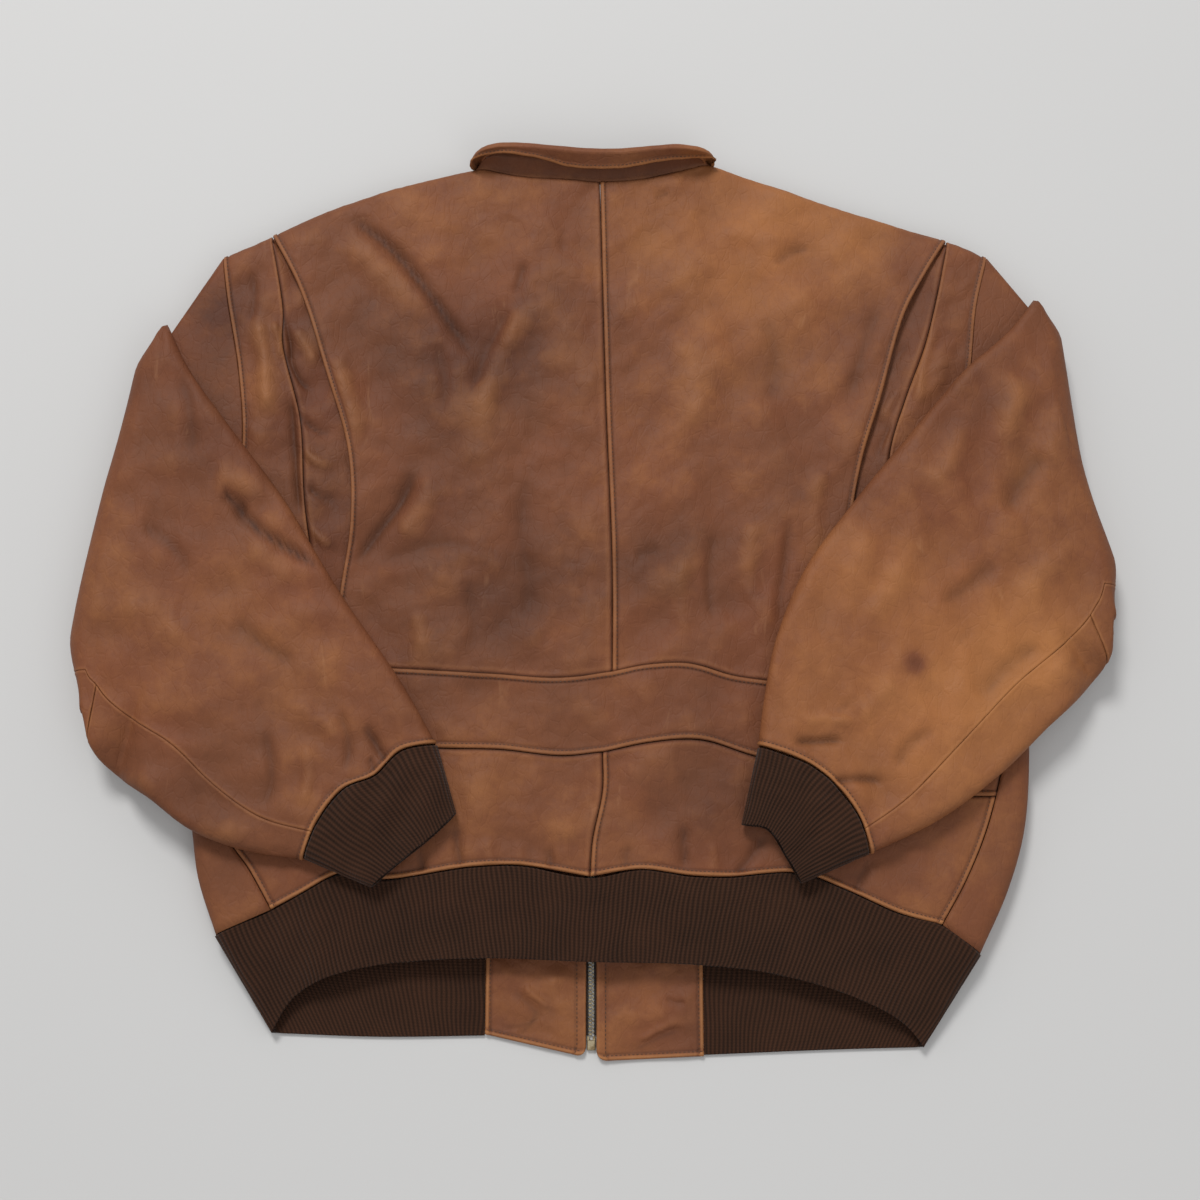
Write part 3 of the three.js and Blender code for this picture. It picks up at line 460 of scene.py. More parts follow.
SLEEVE_TONES = [
    (-330, -80, 80, 0.15), (-200, -150, 50, 0.15), (-280, 40, 60, -0.2), (-340, 160, 60, -0.75),
    (-315, 250, 34, -1.3), (364, 11, 50, -0.3), (300, -60, 80, 0.75), (240, -140, 60, 0.6),
    (350, -60, 60, 0.6), (220, 20, 60, 0.35),
    (400, 20, 40, 0.25), (330, 170, 50, -0.1), (255, -58, 9, -1.6), (175, -100, 30, 0.3),
]


def toned(xy, tones):
    total = np.zeros(xy.shape[:-1])
    for x, y, radius, amount in tones:
        total += amount * np.exp(-((xy - (x, y)) ** 2).sum(-1) / radius**2)
    return total


print("tones:", len(TONES) + len(SLEEVE_TONES))

# %% [markdown]
# ## Grids between pattern lines
# A panel is a grid of points drawn between its four pattern lines, as a patch of canvas is stretched
# between four wires. Rows of the grid lie closer near its edges, where the seams need a finer form.

# %% Panel grids
FINE = 3.4
NEAR_EDGE = [0, 0.4, 0.9, 1.6, 2.4, 3.2, 4.0, 4.7, 5.4, 6.2, 7.4, 9.4]


def shares(length, step=FINE, low=True, high=True):
    near_low = [d / length for d in NEAR_EDGE] if low else [0, 2 / length]
    near_high = [1 - d / length for d in NEAR_EDGE[::-1]] if high else [1 - 2 / length, 1]
    start, end = near_low[-1], near_high[0]
    count = max(2, round((end - start) * length / step))
    return np.array([*near_low[:-1], *np.linspace(start, end, count + 1), *near_high[1:]])


def coons(bottom, top, left, right, us, vs, inset=0.15):
    """A grid between four plan lines, drawn in from each by a small inset in millimetres."""
    u, v = np.meshgrid(us, vs)
    wide = np.linalg.norm(left(0.5) - right(0.5)) + 1
    tall = np.linalg.norm(bottom(0.5) - top(0.5)) + 1
    u, v = inset / wide + u * (1 - 2 * inset / wide), inset / tall + v * (1 - 2 * inset / tall)
    c00, c10, c01, c11 = bottom(0.0), bottom(1.0), top(0.0), top(1.0)
    ends = mix(mix(c00, c10, u[..., None]), mix(c01, c11, u[..., None]), v[..., None])
    across = bottom(u) * (1 - v[..., None]) + top(u) * v[..., None]
    return across + left(v) * (1 - u[..., None]) + right(v) * u[..., None] - ends


def with_height(plan, high):
    return np.concatenate([plan, np.asarray(high)[..., None]], -1)


def normals_of(grid):
    du, dv = np.gradient(grid, axis=1), np.gradient(grid, axis=0)
    n = np.cross(du, dv)
    return n / np.maximum(np.linalg.norm(n, axis=-1, keepdims=True), 1e-9)


def edge_gaps(grid):
    """Distances in millimetres, along the panel, from every grid point to its four edges."""
    across = np.linalg.norm(np.diff(grid, axis=1), axis=-1)
    along = np.linalg.norm(np.diff(grid, axis=0), axis=-1)
    left = np.pad(np.cumsum(across, 1), ((0, 0), (1, 0)))
    low = np.pad(np.cumsum(along, 0), ((1, 0), (0, 0)))
    return {"left": left, "right": left[:, -1:] - left, "low": low, "top": low[-1:] - low}


print("points across 100 mm:", len(shares(100)))

# %% [markdown]
# ## How the edges are finished
# Each edge is finished as a maker would finish it. A welt laps over its neighbour: it stands up, is
# stitched down once and has a groove beyond it. An edge that goes under slopes down. A plain edge is
# only seamed. A rolled edge is turned in on itself, and a turned one is folded back further. All
# distances are in millimetres from the edge. What stands up is rubbed lighter, and the grooves and the
# strip along an edge that goes under are painted darker, as shade.

# %% Kinds of edge
# band: height, foot, width and far slope. drop: depth and reach. bumps and the colour list: amount,
# centre and width. In the colour list an amount above 0 is rubbed lighter, and one below 0 is painted
# shade, in the grooves and along an edge that goes under its neighbour.
EDGE_KINDS = dict(
    welt=dict(band=(0.85, 1.0, 3.3, 1.5), drop=(0.5, 0.8), bumps=[(-0.4, 4.7, 1.0)],
              wear=[(0.42, 1.8, 1.4), (-0.5, 4.7, 0.9)], row=4.5, puckers=True),
    under=dict(drop=(0.8, 1.8), bumps=[(0.25, 3.4, 1.8)], wear=[(-0.9, 0.0, 1.3), (0.15, 3.6, 2.0)],
               puckers=True),
    plain=dict(drop=(0.35, 0.9), bumps=[(0.3, 1.5, 1.3)], wear=[(0.32, 1.2, 1.2)]),
    roll=dict(drop=(0.9, 1.0), bumps=[(1.0, 2.0, 1.6), (-0.35, 4.9, 1.0)],
              wear=[(0.85, 1.6, 1.5), (-0.5, 4.9, 0.9)], row=4.7, puckers=True),
    turned=dict(band=(0.7, 1.2, 6.4, 1.6), drop=(0.5, 0.9), bumps=[(-0.35, 8.2, 1.0)],
                wear=[(0.3, 1.0, 1.2), (-0.6, 8.2, 1.0)], row=8.0))
PUCKER_HIGH = 0.22


def swells(d, bumps):
    return sum(high * np.exp(-(((d - centre) / wide) ** 2)) for high, centre, wide in bumps)


def finish_profile(kind, d):
    """How far the leather stands up at distances from an edge."""
    edge = EDGE_KINDS[kind]
    high, foot, wide, far = edge.get("band", (0.0, 1.0, 0.0, 1.0))
    drop, reach = edge["drop"]
    band = high * smooth(d / foot) * (1 - smooth((d - wide) / far))
    return band - drop * (1 - smooth(d / reach)) + swells(d, edge["bumps"])


def puckered(d, walk, seed):
    """The small gathers that a row of stitches draws up along an edge."""
    wave = np.sin(walk / 2.1 + 2.2 * np.sin(walk / 17 + seed)) * (0.6 + 0.4 * np.sin(walk / 31 + seed))
    return PUCKER_HIGH * wave * swells(d, [(1.0, 7.0, 6.0)])


print("kinds of edge:", len(EDGE_KINDS))

# %% [markdown]
# ## A panel
# A panel starts as a smooth grid. The waves, the creases and the edges' profiles are added up, and the
# grid is pushed out by that much along its own normals. The same sums tell where the leather is rubbed
# lighter and where shade is painted darker, in its grooves, crease valleys and low places, which the
# finish reads later, so colour and form agree.

# %% A panel of leather
class Panel:
    """A sheet of leather: a grid of points (millimetres), its finished edges, its rubbing and painted shade."""

    def __init__(self, name, grid, edges, seed, creases=(), tones=(), flip=False, relief=1.0, calm=None,
                 lowest=None):
        self.name, self.edges, self.flip = name, edges, flip
        gaps = edge_gaps(grid)
        out = normals_of(grid) * (-1 if flip else 1)
        xy = grid[..., :2]
        up = np.clip(out[..., 2:], 0.0, 1)[..., 0]
        calm = np.zeros(xy.shape[:-1]) if calm is None else calm
        free = (1 - 0.85 * calm) * relief
        soft = np.minimum.reduce([gaps[k] for k in edges]) if edges else np.full(xy.shape[:-1], 99.0)
        slow = (waves(xy, [(95, 1.5, 4), (42, 1.0, 5)], seed)
                + waves(xy, [(19, 0.36, 6), (9, 0.12, 6)], seed + 5))
        folds = creased(xy, creases) * up
        lift = slow * free * up * smooth(0.3 + soft / 20) + folds * free * smooth(0.25 + soft / 10)
        worn = np.zeros(xy.shape[:-1])
        for side, kind in edges.items():
            d = gaps[side]
            walk = gaps["low" if side in ("left", "right") else "left"]
            if EDGE_KINDS[kind].get("puckers"):
                lift += puckered(d, walk, seed) * relief
            lift += finish_profile(kind, d)
            worn += swells(d, EDGE_KINDS[kind]["wear"])
        self.grid = grid + out * lift[..., None]
        if lowest is not None:
            self.grid[..., 2] = np.maximum(self.grid[..., 2], lowest)
        # Higher places are rubbed lighter, and crease ridges a little lighter. Lower places and crease valleys
        # are painted darker, as shade.
        bumps = lift - np.minimum(lift, 0) * 0.3
        self.worn = worn + 0.06 * bumps + 0.09 * np.minimum(folds, 0) + 0.025 * np.maximum(folds, 0)
        self.tone = toned(xy, tones) if tones else np.zeros(lift.shape)
        self.gaps = edge_gaps(self.grid)

    def edge_line(self, side, distance):
        """Points on the panel, and the way into it, along a line at a distance from one of its edges."""
        grid, gap = self.grid, self.gaps[side]
        if side in ("low", "top"):
            grid, gap = grid.transpose(1, 0, 2), gap.T
        if side in ("right", "top"):
            grid, gap = grid[:, ::-1], gap[:, ::-1]

        def at(d):
            return np.array([[np.interp(d, g, row[:, k]) for k in range(3)] for row, g in zip(grid, gap)])
        return at(distance), at(distance + 1.0)


print("puckers at the edge:", round(float(np.ptp(puckered(np.full(90, 7.0), np.arange(90.0), 3))), 2), "mm")

# %% [markdown]
# ## From points to a mesh
# A grid of points becomes a mesh with the rubbing and painted shade, and the tone, kept on its points as
# attributes, and with its lengths across and along as its map. The Solidify modifier gives it the
# thickness of the leather, inwards, so the outer face stays where it was drawn.

# %% Build a mesh
LOWEST = 0.1  # nothing reaches below this, just over the floor


def build_mesh(name, points, faces, material, uv=None, attributes=(), thick=0.0):
    """A finished object at the origin, with points in millimetres of the outline frame."""
    points = (np.asarray(points, float) - (0, MIDDLE_Y, 0)) * MM
    mesh = bpy.data.meshes.new(name)
    mesh.from_pydata(points.tolist(), [], faces)
    for label, values in attributes:
        kept = mesh.attributes.new(label, "FLOAT", "POINT")
        kept.data.foreach_set("value", np.asarray(values, np.float32).ravel())
    if uv is not None:
        layer = mesh.uv_layers.new(name="UVMap")
        corner = np.empty(len(mesh.loops), np.int32)
        mesh.loops.foreach_get("vertex_index", corner)
        layer.data.foreach_set("uv", np.asarray(uv, np.float32)[corner].ravel())
    mesh.polygons.foreach_set("use_smooth", np.ones(len(mesh.polygons), bool))
    made = bpy.data.objects.new(name, mesh)
    bpy.context.scene.collection.objects.link(made)
    if thick:
        wall = made.modifiers.new("wall", "SOLIDIFY")
        wall.thickness, wall.offset, wall.use_rim = thick * MM, -1, True
        bpy.context.view_layer.objects.active = made
        bpy.ops.object.modifier_apply(modifier="wall")
    at = np.empty(len(mesh.vertices) * 3, np.float32)
    mesh.vertices.foreach_get("co", at)
    at[2::3] = np.maximum(at[2::3], LOWEST * MM)
    mesh.vertices.foreach_set("co", at)
    made.data.materials.append(material)
    return made


def grid_faces(rows, columns, flip=False):
    i = np.arange(rows * columns).reshape(rows, columns)
    a, b, c, d = i[:-1, :-1], i[:-1, 1:], i[1:, 1:], i[1:, :-1]
    quads = np.stack([a, b, c, d], -1).reshape(-1, 4)
    return (quads[:, ::-1] if flip else quads).tolist()


def lay_sheet(name, grid, flip, attributes, thick, material):
    """A grid as a sheet of real thickness, mapped by its own lengths across and along."""
    gaps = edge_gaps(grid)
    uv = np.stack([gaps["left"], gaps["low"]], -1).reshape(-1, 2) * MM
    faces = grid_faces(*grid.shape[:2], flip)
    return build_mesh(name, grid.reshape(-1, 3), faces, material, uv, attributes, thick)


print("walls:", LEATHER_WALL, "mm of leather,", RIB_WALL, "mm of knit")

# %% [markdown]
# ## The back, its gussets and its side panels
# The centre panels' outer edges stand a little over the gussets, which run on under them, as the pleats
# of a flying jacket's action back do. The belt laps over the panels above and below it.

# %% Body panels
def over_back(plan, u, v):
    return back_height(plan)


def panel_grid(bottom, top, left, right, us, vs, height=over_back):
    plan = coons(bottom, top, left, right, us, vs)
    u, v = np.meshgrid(us, vs)
    return with_height(plan, height(plan, u, v))


def reverse(line):
    return lambda t: line(1 - np.asarray(t, float))


def body_panels(s):
    name, sign, seed = s["name"], s["sign"], 11 if s["sign"] < 0 else 37
    pleat_top = s["shoulder"].share_near(s["pleat"](0))
    pleat_low = s["belt"].share_near(s["pleat"](1))
    gusset_low = s["belt"].share_near(s["gusset"](1))

    def panel(kind, grid, edges, step):
        return Panel(kind + "_" + name, grid, edges, seed + step, BACK_CREASES, TONES, sign > 0,
                     calm=covered(grid[..., :2]))

    def lifted(plan, u, v):
        gap = edge_distance(plan)
        hump = (1 - smooth(u / 0.16)) * smooth(gap / 40) * smooth((plan[..., 1] - s["covered"]) / 45)
        return EDGE + EDGE * over_edge(gap, EDGE) + PLEAT_LIFT * hump

    centre = panel_grid(
        part(s["belt"], pleat_low, 1), join(part(s["shoulder"], pleat_top, 0), s["neck"], 0.5),
        reverse(s["pleat"]), CENTRE_BACK, shares(260), shares(430), lifted)
    centre_edge = "welt" if sign > 0 else "under"
    made = [panel("back", centre, dict(left="welt", right=centre_edge, low="under", top="under"), 0)]

    def tucked(t):
        t = np.asarray(t, float)
        shift = -sign * (PLEAT_TUCK + 1.0) * smooth((1 - t) / 0.1)
        return s["pleat"](1 - t) + np.stack([shift, np.zeros_like(shift)], -1)

    # The gusset stops a little short of the shoulder, where it would have no width.
    gusset = panel_grid(
        lambda t: mix(s["gusset"](1.0), tucked(0.0), np.asarray(t)[..., None]),
        lambda t: mix(s["gusset"](0.015), tucked(0.985), np.asarray(t)[..., None]),
        lambda t: s["gusset"](1 - 0.985 * t), lambda t: tucked(0.985 * t),
        shares(36, low=True, high=False), shares(390),
        lambda plan, u, v: back_height(plan) - 3.6 * smooth(1.4 * u))
    made.append(panel("gusset", gusset, dict(left="under"), 2))

    seam_low = s["seam"].share_near(s["belt"](0))
    outer = join(part(s["seam"], seam_low, 0), reverse(s["armhole"]), 0.25)
    side = panel_grid(
        part(s["belt"], 0, gusset_low), lambda t: s["shoulder"](1 + (pleat_top - 1) * np.asarray(t, float)),
        outer, reverse(s["gusset"]), shares(70), shares(400))
    made.append(panel("side_panel", side, dict(left="welt", right="plain", low="under"), 4))

    seam_yoke = s["seam"].share_near(s["yoke"](0))
    lower = panel_grid(
        s["waist"], s["yoke"], part(s["seam"], 1, seam_yoke), CENTRE_LOW, shares(300), shares(105))
    made.append(panel("lower_back", lower, dict(left="welt", right=centre_edge, low="roll", top="under"), 6))
    return made


def belt_panel():
    whole = lambda key: join(LEFT[key], reverse(RIGHT[key]), 0.5)
    end = lambda s: part(s["seam"], s["seam"].share_near(s["yoke"](0)), s["seam"].share_near(s["belt"](0)))
    grid = panel_grid(whole("yoke"), whole("belt"), end(LEFT), end(RIGHT), shares(670), shares(62, 3.0))
    return Panel("belt", grid, dict(low="welt", top="welt", left="under", right="under"), 71,
                 BACK_CREASES, TONES, calm=covered(grid[..., :2]))


def front_panel(s):
    """A whole front. Its outer edge wraps up round the side, up to a split at the foot of the armhole."""
    sign, split = s["sign"], 0.42
    zip_edge = ZIP_X + sign * 5.1
    blend = lambda line, power: (lambda t: np.stack(
        [line(t)[..., 0] + (zip_edge - line(t)[..., 0]) * np.asarray(t, float) ** power, line(t)[..., 1]], -1))
    top = join(reverse(s["shoulder"]), blend(s["front_neck"], 4), 0.6)
    outer = join(reverse(s["edge"]), reverse(s["armhole"]), split)
    bottom = blend(s["front_waist"], 1)
    centre = Line([zip_edge, -286], [zip_edge, 330])
    us, vs = shares(310, 9.0, True, False), np.linspace(0, 1, 90)
    flat = panel_grid(bottom, top, outer, centre, us, vs, lambda plan, u, v: front_height(plan))
    wraps = np.array([1, 0.9, 0.75, 0.5, 0.35, 0.2, 0.1, 0.04])[None, :, None]
    feet = flat[:, :1]
    low = np.clip(vs / split, 0, 1)
    tops = s["seam"](1 - low) + np.stack([np.full(len(vs), sign * 0.5), np.zeros(len(vs))], -1)
    plan = feet[..., :2] + (tops[:, None] - feet[..., :2]) * wraps
    above = EDGE + EDGE * over_edge(edge_distance(plan), EDGE)
    rolled = np.concatenate([plan, above[..., None]], -1)
    keep = (vs <= split)[:, None, None]
    rolled = np.where(keep, rolled, feet)
    grid = np.concatenate([rolled, flat], 1)
    # Above the side seam the wrapped strip has no width, so its points run just inside the edge instead.
    step = np.linspace(0.35, 0.0, rolled.shape[1])[None, :, None]
    grid[:, : rolled.shape[1]] = np.where(keep, rolled, feet + (flat[:, 1:2] - feet) * (0.35 - step) * 0.2)
    return grid


panels = []
for s in SIDES:
    panels += body_panels(s)
panels.append(belt_panel())
print("body panels:", len(panels), "points:", sum(p.grid[..., 0].size for p in panels))

# %% [markdown]
# ## Sleeves
# A sleeve is a flattened tube. It runs out from its armhole on the floor, turns over at a fold and lies
# back over the body, ending at the cuff. A point is found by its place along the sleeve and its place
# round the tube. Round the tube, the length is measured from the lower edge. The under sleeve is the
# strip round that edge.

# %% Sleeve and cuff forms
UNDER_FOLD, UNDER_ARM, UNDER_WRIST, UNDER_BOTTOM = 38.0, 48.0, 26.0, 45.0
WIDE_ARM, WIDE_FOLD, WIDE_WRIST, WIDE_HAND = 290.0, 320.0, 138.0, 92.0


def way_round(width, radius):
    """The whole length round a flattened tube."""
    return 2 * (width - 2 * radius) + 2 * math.pi * radius


def on_loop(a, width, radius):
    """Share across and height from -1 to 1, for a length round a flattened tube."""
    quarter, straight, total = math.pi * radius / 2, width - 2 * radius, way_round(width, radius)
    s = np.mod(a, total)
    turn = math.pi / 2 + (s - quarter - straight) / radius
    back = (total - s) / radius
    zones = [s < quarter, s < quarter + straight, s < 3 * quarter + straight, s < 3 * quarter + 2 * straight]
    x = np.select(zones, [
        radius * (1 - np.cos(s / radius)), radius + s - quarter, width - radius - radius * np.cos(turn),
        width - radius - (s - 3 * quarter - straight)], radius * (1 - np.cos(back)))
    z = np.select(zones, [np.sin(s / radius), np.ones_like(s), np.sin(turn), -np.ones_like(s)], -np.sin(back))
    return 1 - x / width, z


def support(s, xy):
    """How high the body, or the lower half of the sleeve, holds up a point of the folded sleeve."""
    body = s["edge"].points[::4]
    nearest, _ = near(xy, body)
    order = np.argsort(body[:, 1])
    reach = np.interp(xy[..., 1], body[order, 1], body[order, 0])
    within = (s["sign"] * xy[..., 0] < s["sign"] * reach) & (xy[..., 1] > body[:, 1].min() - 3)
    q, w = s["armhole"](1.0), s["fold"](1.0)
    slope = (w - q) / np.linalg.norm(w - q)
    past = s["sign"] * ((xy[..., 0] - q[0]) * slope[1] - (xy[..., 1] - q[1]) * slope[0])
    off = np.where(within | (xy[..., 1] > q[1]), 0, np.maximum(0, np.minimum(nearest, past) - 20))
    return BODY_HIGH * (1 - smooth(off / 50))


def sleeve_points(s, along, across, high):
    """Places on the sleeve: along runs 0 to 1 out to the fold, to 2 round it and to 3 back to the cuff."""
    sign = s["sign"]
    first = mix(s["armhole"](across), s["fold"](across), np.clip(along, 0, 1)[..., None])
    first = with_height(first, EDGE - EDGE * high)
    axis = s["fold"](across)
    turn = (along - 1) * math.pi
    thick = BODY_HIGH + (SLEEVE_HIGH - BODY_HIGH) * smooth(along - 1)
    corner = 1 - 0.8 * smooth((across - 0.8) / 0.2) - 0.6 * smooth((0.12 - across) / 0.12)
    reach = LAYER_GAP / 2 + thick * (1 + high) / 2
    outward = sign * np.sin(turn) * reach * corner
    second = np.stack([axis[..., 0] + outward, axis[..., 1],
                       BODY_HIGH + LAYER_GAP / 2 - np.cos(turn) * reach], -1)
    t = np.clip(along - 2, 0, 1)
    edge = lambda at: mix(s["over"](at), s["under"](at), across[..., None])
    bow = (mix(s["over"](1.0), s["under"](1.0), across[..., None]) - s["cuff_seam"](across)) * smooth(
        (t - 0.7) / 0.3)[..., None]
    start = (axis - mix(s["over"](0.0), s["under"](0.0), across[..., None])) * (1 - smooth(t / 0.3))[..., None]
    third = edge(t) - bow + start
    third = with_height(third, support(s, third) + LAYER_GAP + SLEEVE_HIGH / 2 * (1 + high))
    pick = along[..., None]
    return np.where(pick <= 1, first, np.where(pick < 2, second, third))


def under_seam(along):
    """Where the under sleeve's upper seam runs, round from the sleeve's lower edge."""
    t = np.clip(along - 2, 0, 1)
    near_arm = UNDER_FOLD + (UNDER_ARM - UNDER_FOLD) * smooth(t / 0.12)
    return near_arm + (UNDER_WRIST - near_arm) * smooth((t - 0.35) / 0.65)


def sleeve_grid(s, under, stations, columns):
    """The sleeve is the way round from the upper seam to the lower one, and the under sleeve is the rest."""
    rows, facing = [], []
    for along in stations:
        wide = WIDE_ARM + (WIDE_FOLD - WIDE_ARM) * along if along <= 1 else (
            WIDE_FOLD + (WIDE_WRIST - WIDE_FOLD) * max(0, along - 2))
        below, above = UNDER_BOTTOM * wide / WIDE_FOLD, under_seam(along)
        start, end = (-below, above) if under else (above, way_round(wide, SLEEVE_HIGH / 2) - below)
        across, up = on_loop(start + 0.06 + (end - start - 0.12) * columns, wide, SLEEVE_HIGH / 2)
        rows.append(sleeve_points(s, np.full(len(columns), along), across, up))
        facing.append(up if along >= 1.5 else -up)
    return np.array(rows), np.array(facing)


def sleeve_panel(name, s, under, stations, columns, edges, seed, relief=1.0):
    grid, facing = sleeve_grid(s, under, stations, columns)
    flip = (normals_of(grid)[..., 2] * facing).sum() < 0
    hidden = (facing < 0.3) | (np.array(stations) < 1.9)[:, None]
    return Panel(name, grid, edges, seed, SLEEVE_CREASES, SLEEVE_TONES, flip, relief, calm=hidden.astype(float))


def sleeve_panels(s):
    name, seed = s["name"], 101 if s["sign"] < 0 else 141
    count = 120
    stations = [0.0, 0.012, 0.03, 0.05, 0.08, *np.linspace(0.12, 0.95, 12), *np.linspace(1, 2, 22),
                *np.linspace(2.02, 2.975, count), 2.981, 2.985, 2.989, 2.993, 2.996]
    joint = 2 + s["elbow"]
    main = sleeve_panel("sleeve_" + name, s, False, stations, shares(500, 5.2),
                        dict(left="plain", right="plain", top="roll"), seed)
    strip = shares(75, 3.6)
    upper = [a for a in stations if a < joint - 0.004] + [joint - 0.0005]
    lower = [joint + 0.0005] + [a for a in stations if a > joint + 0.004]
    below = sleeve_panel("under_sleeve_upper_" + name, s, True, upper, strip,
                         dict(right="plain", top="plain"), seed + 2)
    above = sleeve_panel("under_sleeve_lower_" + name, s, True, lower, strip,
                         dict(right="plain", low="plain", top="roll"), seed + 4)
    return [main, below, above]


for s in SIDES:
    panels += sleeve_panels(s)
print("with sleeves:", len(panels), "points:", sum(p.grid[..., 0].size for p in panels))

# %% [markdown]
# ## Knitted cuffs and waistband
# Rib knit is a row of fine ridges. Each ridge runs from the leather seam to the free edge. The rib's
# form is real: every ridge has several points across it. The waistband is one length, round the back and
# both folded sides, and ends at the leather panels beside the zip.

# %% Rib knit
RIB_PITCH = 3.7
RIB_POINTS = 7
RIB_DEEP = 0.95
CUFF_RIBS, BACK_RIBS = 66, 176


def ribbed(grid, flip, count, seed, soften):
    """Pushes a grid out and in along its columns, as ribs, which are flatter where soften is lower."""
    out = normals_of(grid) * (-1 if flip else 1)
    column = np.linspace(0, count, grid.shape[1])[None, :]
    row = np.linspace(0, 1, grid.shape[0])[:, None]
    sway = 0.22 * np.sin(row * 5 + column * 0.13 + seed) + 0.12 * np.sin(row * 11 + column * 0.4)
    wave = np.cos(2 * math.pi * (column + sway))
    depth = RIB_DEEP * (0.8 + 0.2 * np.sin(column * 0.9 + row * 4 + seed))
    lift = depth * (np.sign(wave) * np.abs(wave) ** 0.7 * 0.5 - 0.5) * soften
    # The second value, 1 on a rib's top and 0 in its valleys, is what the knit's painted shade follows.
    return grid + out * lift[..., None], 0.5 + 0.5 * wave


def cuff_grid(s):
    """Rows run from the sleeve's end to the hand, columns round the tube."""
    rows = np.array([0.0, 0.02, 0.05, *np.linspace(0.09, 0.93, 17), 0.965, 0.985, 1.0])
    turns = np.linspace(0, 1, CUFF_RIBS * RIB_POINTS + 1)
    grid, facing = [], []
    for t in rows:
        wide = WIDE_WRIST + (WIDE_HAND - WIDE_WRIST) * t
        high = SLEEVE_HIGH + (CUFF_HIGH - SLEEVE_HIGH) * t
        # The knit swells where it leaves the sleeve's gathered end.
        swell = 1.6 * math.sin(math.pi * min(1, t * 1.6)) if t < 0.62 else 0.0
        across, up = on_loop(way_round(wide, high / 2) * turns, wide, high / 2)
        plan = mix(s["cuff_seam"](across), s["cuff_end"](across), t)
        z = BODY_HIGH + LAYER_GAP + high / 2 * (1 + up) + swell * np.clip(up, 0, 1)
        z = z + waves(plan, [(48, 1.3, 3), (22, 0.5, 3)], 9) * np.clip(up, 0, 1)
        grid.append(with_height(plan, z))
        facing.append(up)
    grid, facing = np.array(grid), np.array(facing)
    flip = (normals_of(grid)[..., 2] * facing).sum() < 0
    soften = (0.35 + 0.65 * smooth(rows / 0.12))[:, None] * np.ones(grid.shape[:2])
    grid, rib = ribbed(grid, flip, CUFF_RIBS, s["sign"], soften)
    return grid, flip, rib


BAND_TIPS = {-1: ((-308, -275), (-261, -350)), 1: ((304, -290), (257, -361))}
BAND_SEAM = Line(
    [-308, -275], [-285, -265], [-262, -255], [-240, -243], [-204, -225], [-176, -231], [-104, -221],
    [-64, -220], [-8, -229], [32, -223], [72, -228], [102, -229], [160, -226], [196, -239], [239, -258],
    [272, -267], [304, -290])
BAND_HEM = Line([-261, -350], [-245, -324], [-222, -309], [-175, -297], [-103, -292], [0, -295], [79, -297],
                [143, -305], [206, -324], [241, -343], [257, -361])
FLOOR_SEAM = {-1: Line([-92, -284.5], [-150, -284], [-240, -281], [-308, -275]),
              1: Line([83, -288], [150, -289], [240, -291], [304, -290])}
FLOOR_HEM = {-1: Line([-92, -352], [-175, -353], [-261, -350]), 1: Line([83, -367], [183, -363], [257, -361])}


def band_point(plan, tip, v, above):
    half = EDGE + (6 - EDGE) * v
    gap = np.linalg.norm(plan - tip, axis=-1)
    flat = BODY_HIGH + (BAND_HIGH - BODY_HIGH) * v
    high = 2 * half + (flat - 2 * half) * smooth((gap - half) / 70) - half if above else half
    return with_height(plan, half + (1 if above else -1) * high * over_edge(gap, half))


def band_grid():
    """Rows run from the leather seam to the hem; columns from one zip panel round the back to the other."""
    near_tip = 1 - np.geomspace(1, 0.004, 60)
    floor_shares = np.unique(np.concatenate([
        np.linspace(0, 0.9, 50 * RIB_POINTS // 2), near_tip[near_tip > 0.9]]))
    back_shares = np.linspace(0, 1, BACK_RIBS * RIB_POINTS)
    rows, up = [], []
    for v in [0.0, 0.02, 0.05, *np.linspace(0.1, 0.92, 14), 0.965, 0.985, 1.0]:
        tips = {k: mix(np.array(a, float), np.array(b, float), v) for k, (a, b) in BAND_TIPS.items()}
        left, right = [band_point(mix(FLOOR_SEAM[k](floor_shares), FLOOR_HEM[k](floor_shares), v), tips[k], v,
                                  False) for k in (-1, 1)]
        right = right[::-1]
        plan = mix(BAND_SEAM(back_shares), BAND_HEM(back_shares), v)
        half = len(plan) // 2
        back = np.concatenate([band_point(plan[:half], tips[-1], v, True),
                               band_point(plan[half:], tips[1], v, True)])
        back[:, 2] += waves(back[:, :2], [(70, 1.2, 3), (30, 0.5, 3)], 23) * smooth(
            np.minimum(*[np.linalg.norm(back[:, :2] - tips[k], axis=-1) for k in (-1, 1)]) / 40)
        rows.append(np.concatenate([left[:-1], back, right[1:]]))
        up.append(np.concatenate([-np.ones(len(left) - 1), np.ones(len(back)), -np.ones(len(right) - 1)]))
    return np.array(rows), np.array(up)


print("waist seam:", round(BAND_SEAM.length), "mm, hem:", round(BAND_HEM.length), "mm")

# %% [markdown]
# ## Collar
# The stand rises from the neck seam. The fall turns over it in a roll and comes down outside, so its
# stitched edge lies above the stand. Both run round the throat from one end of the zip to the other.

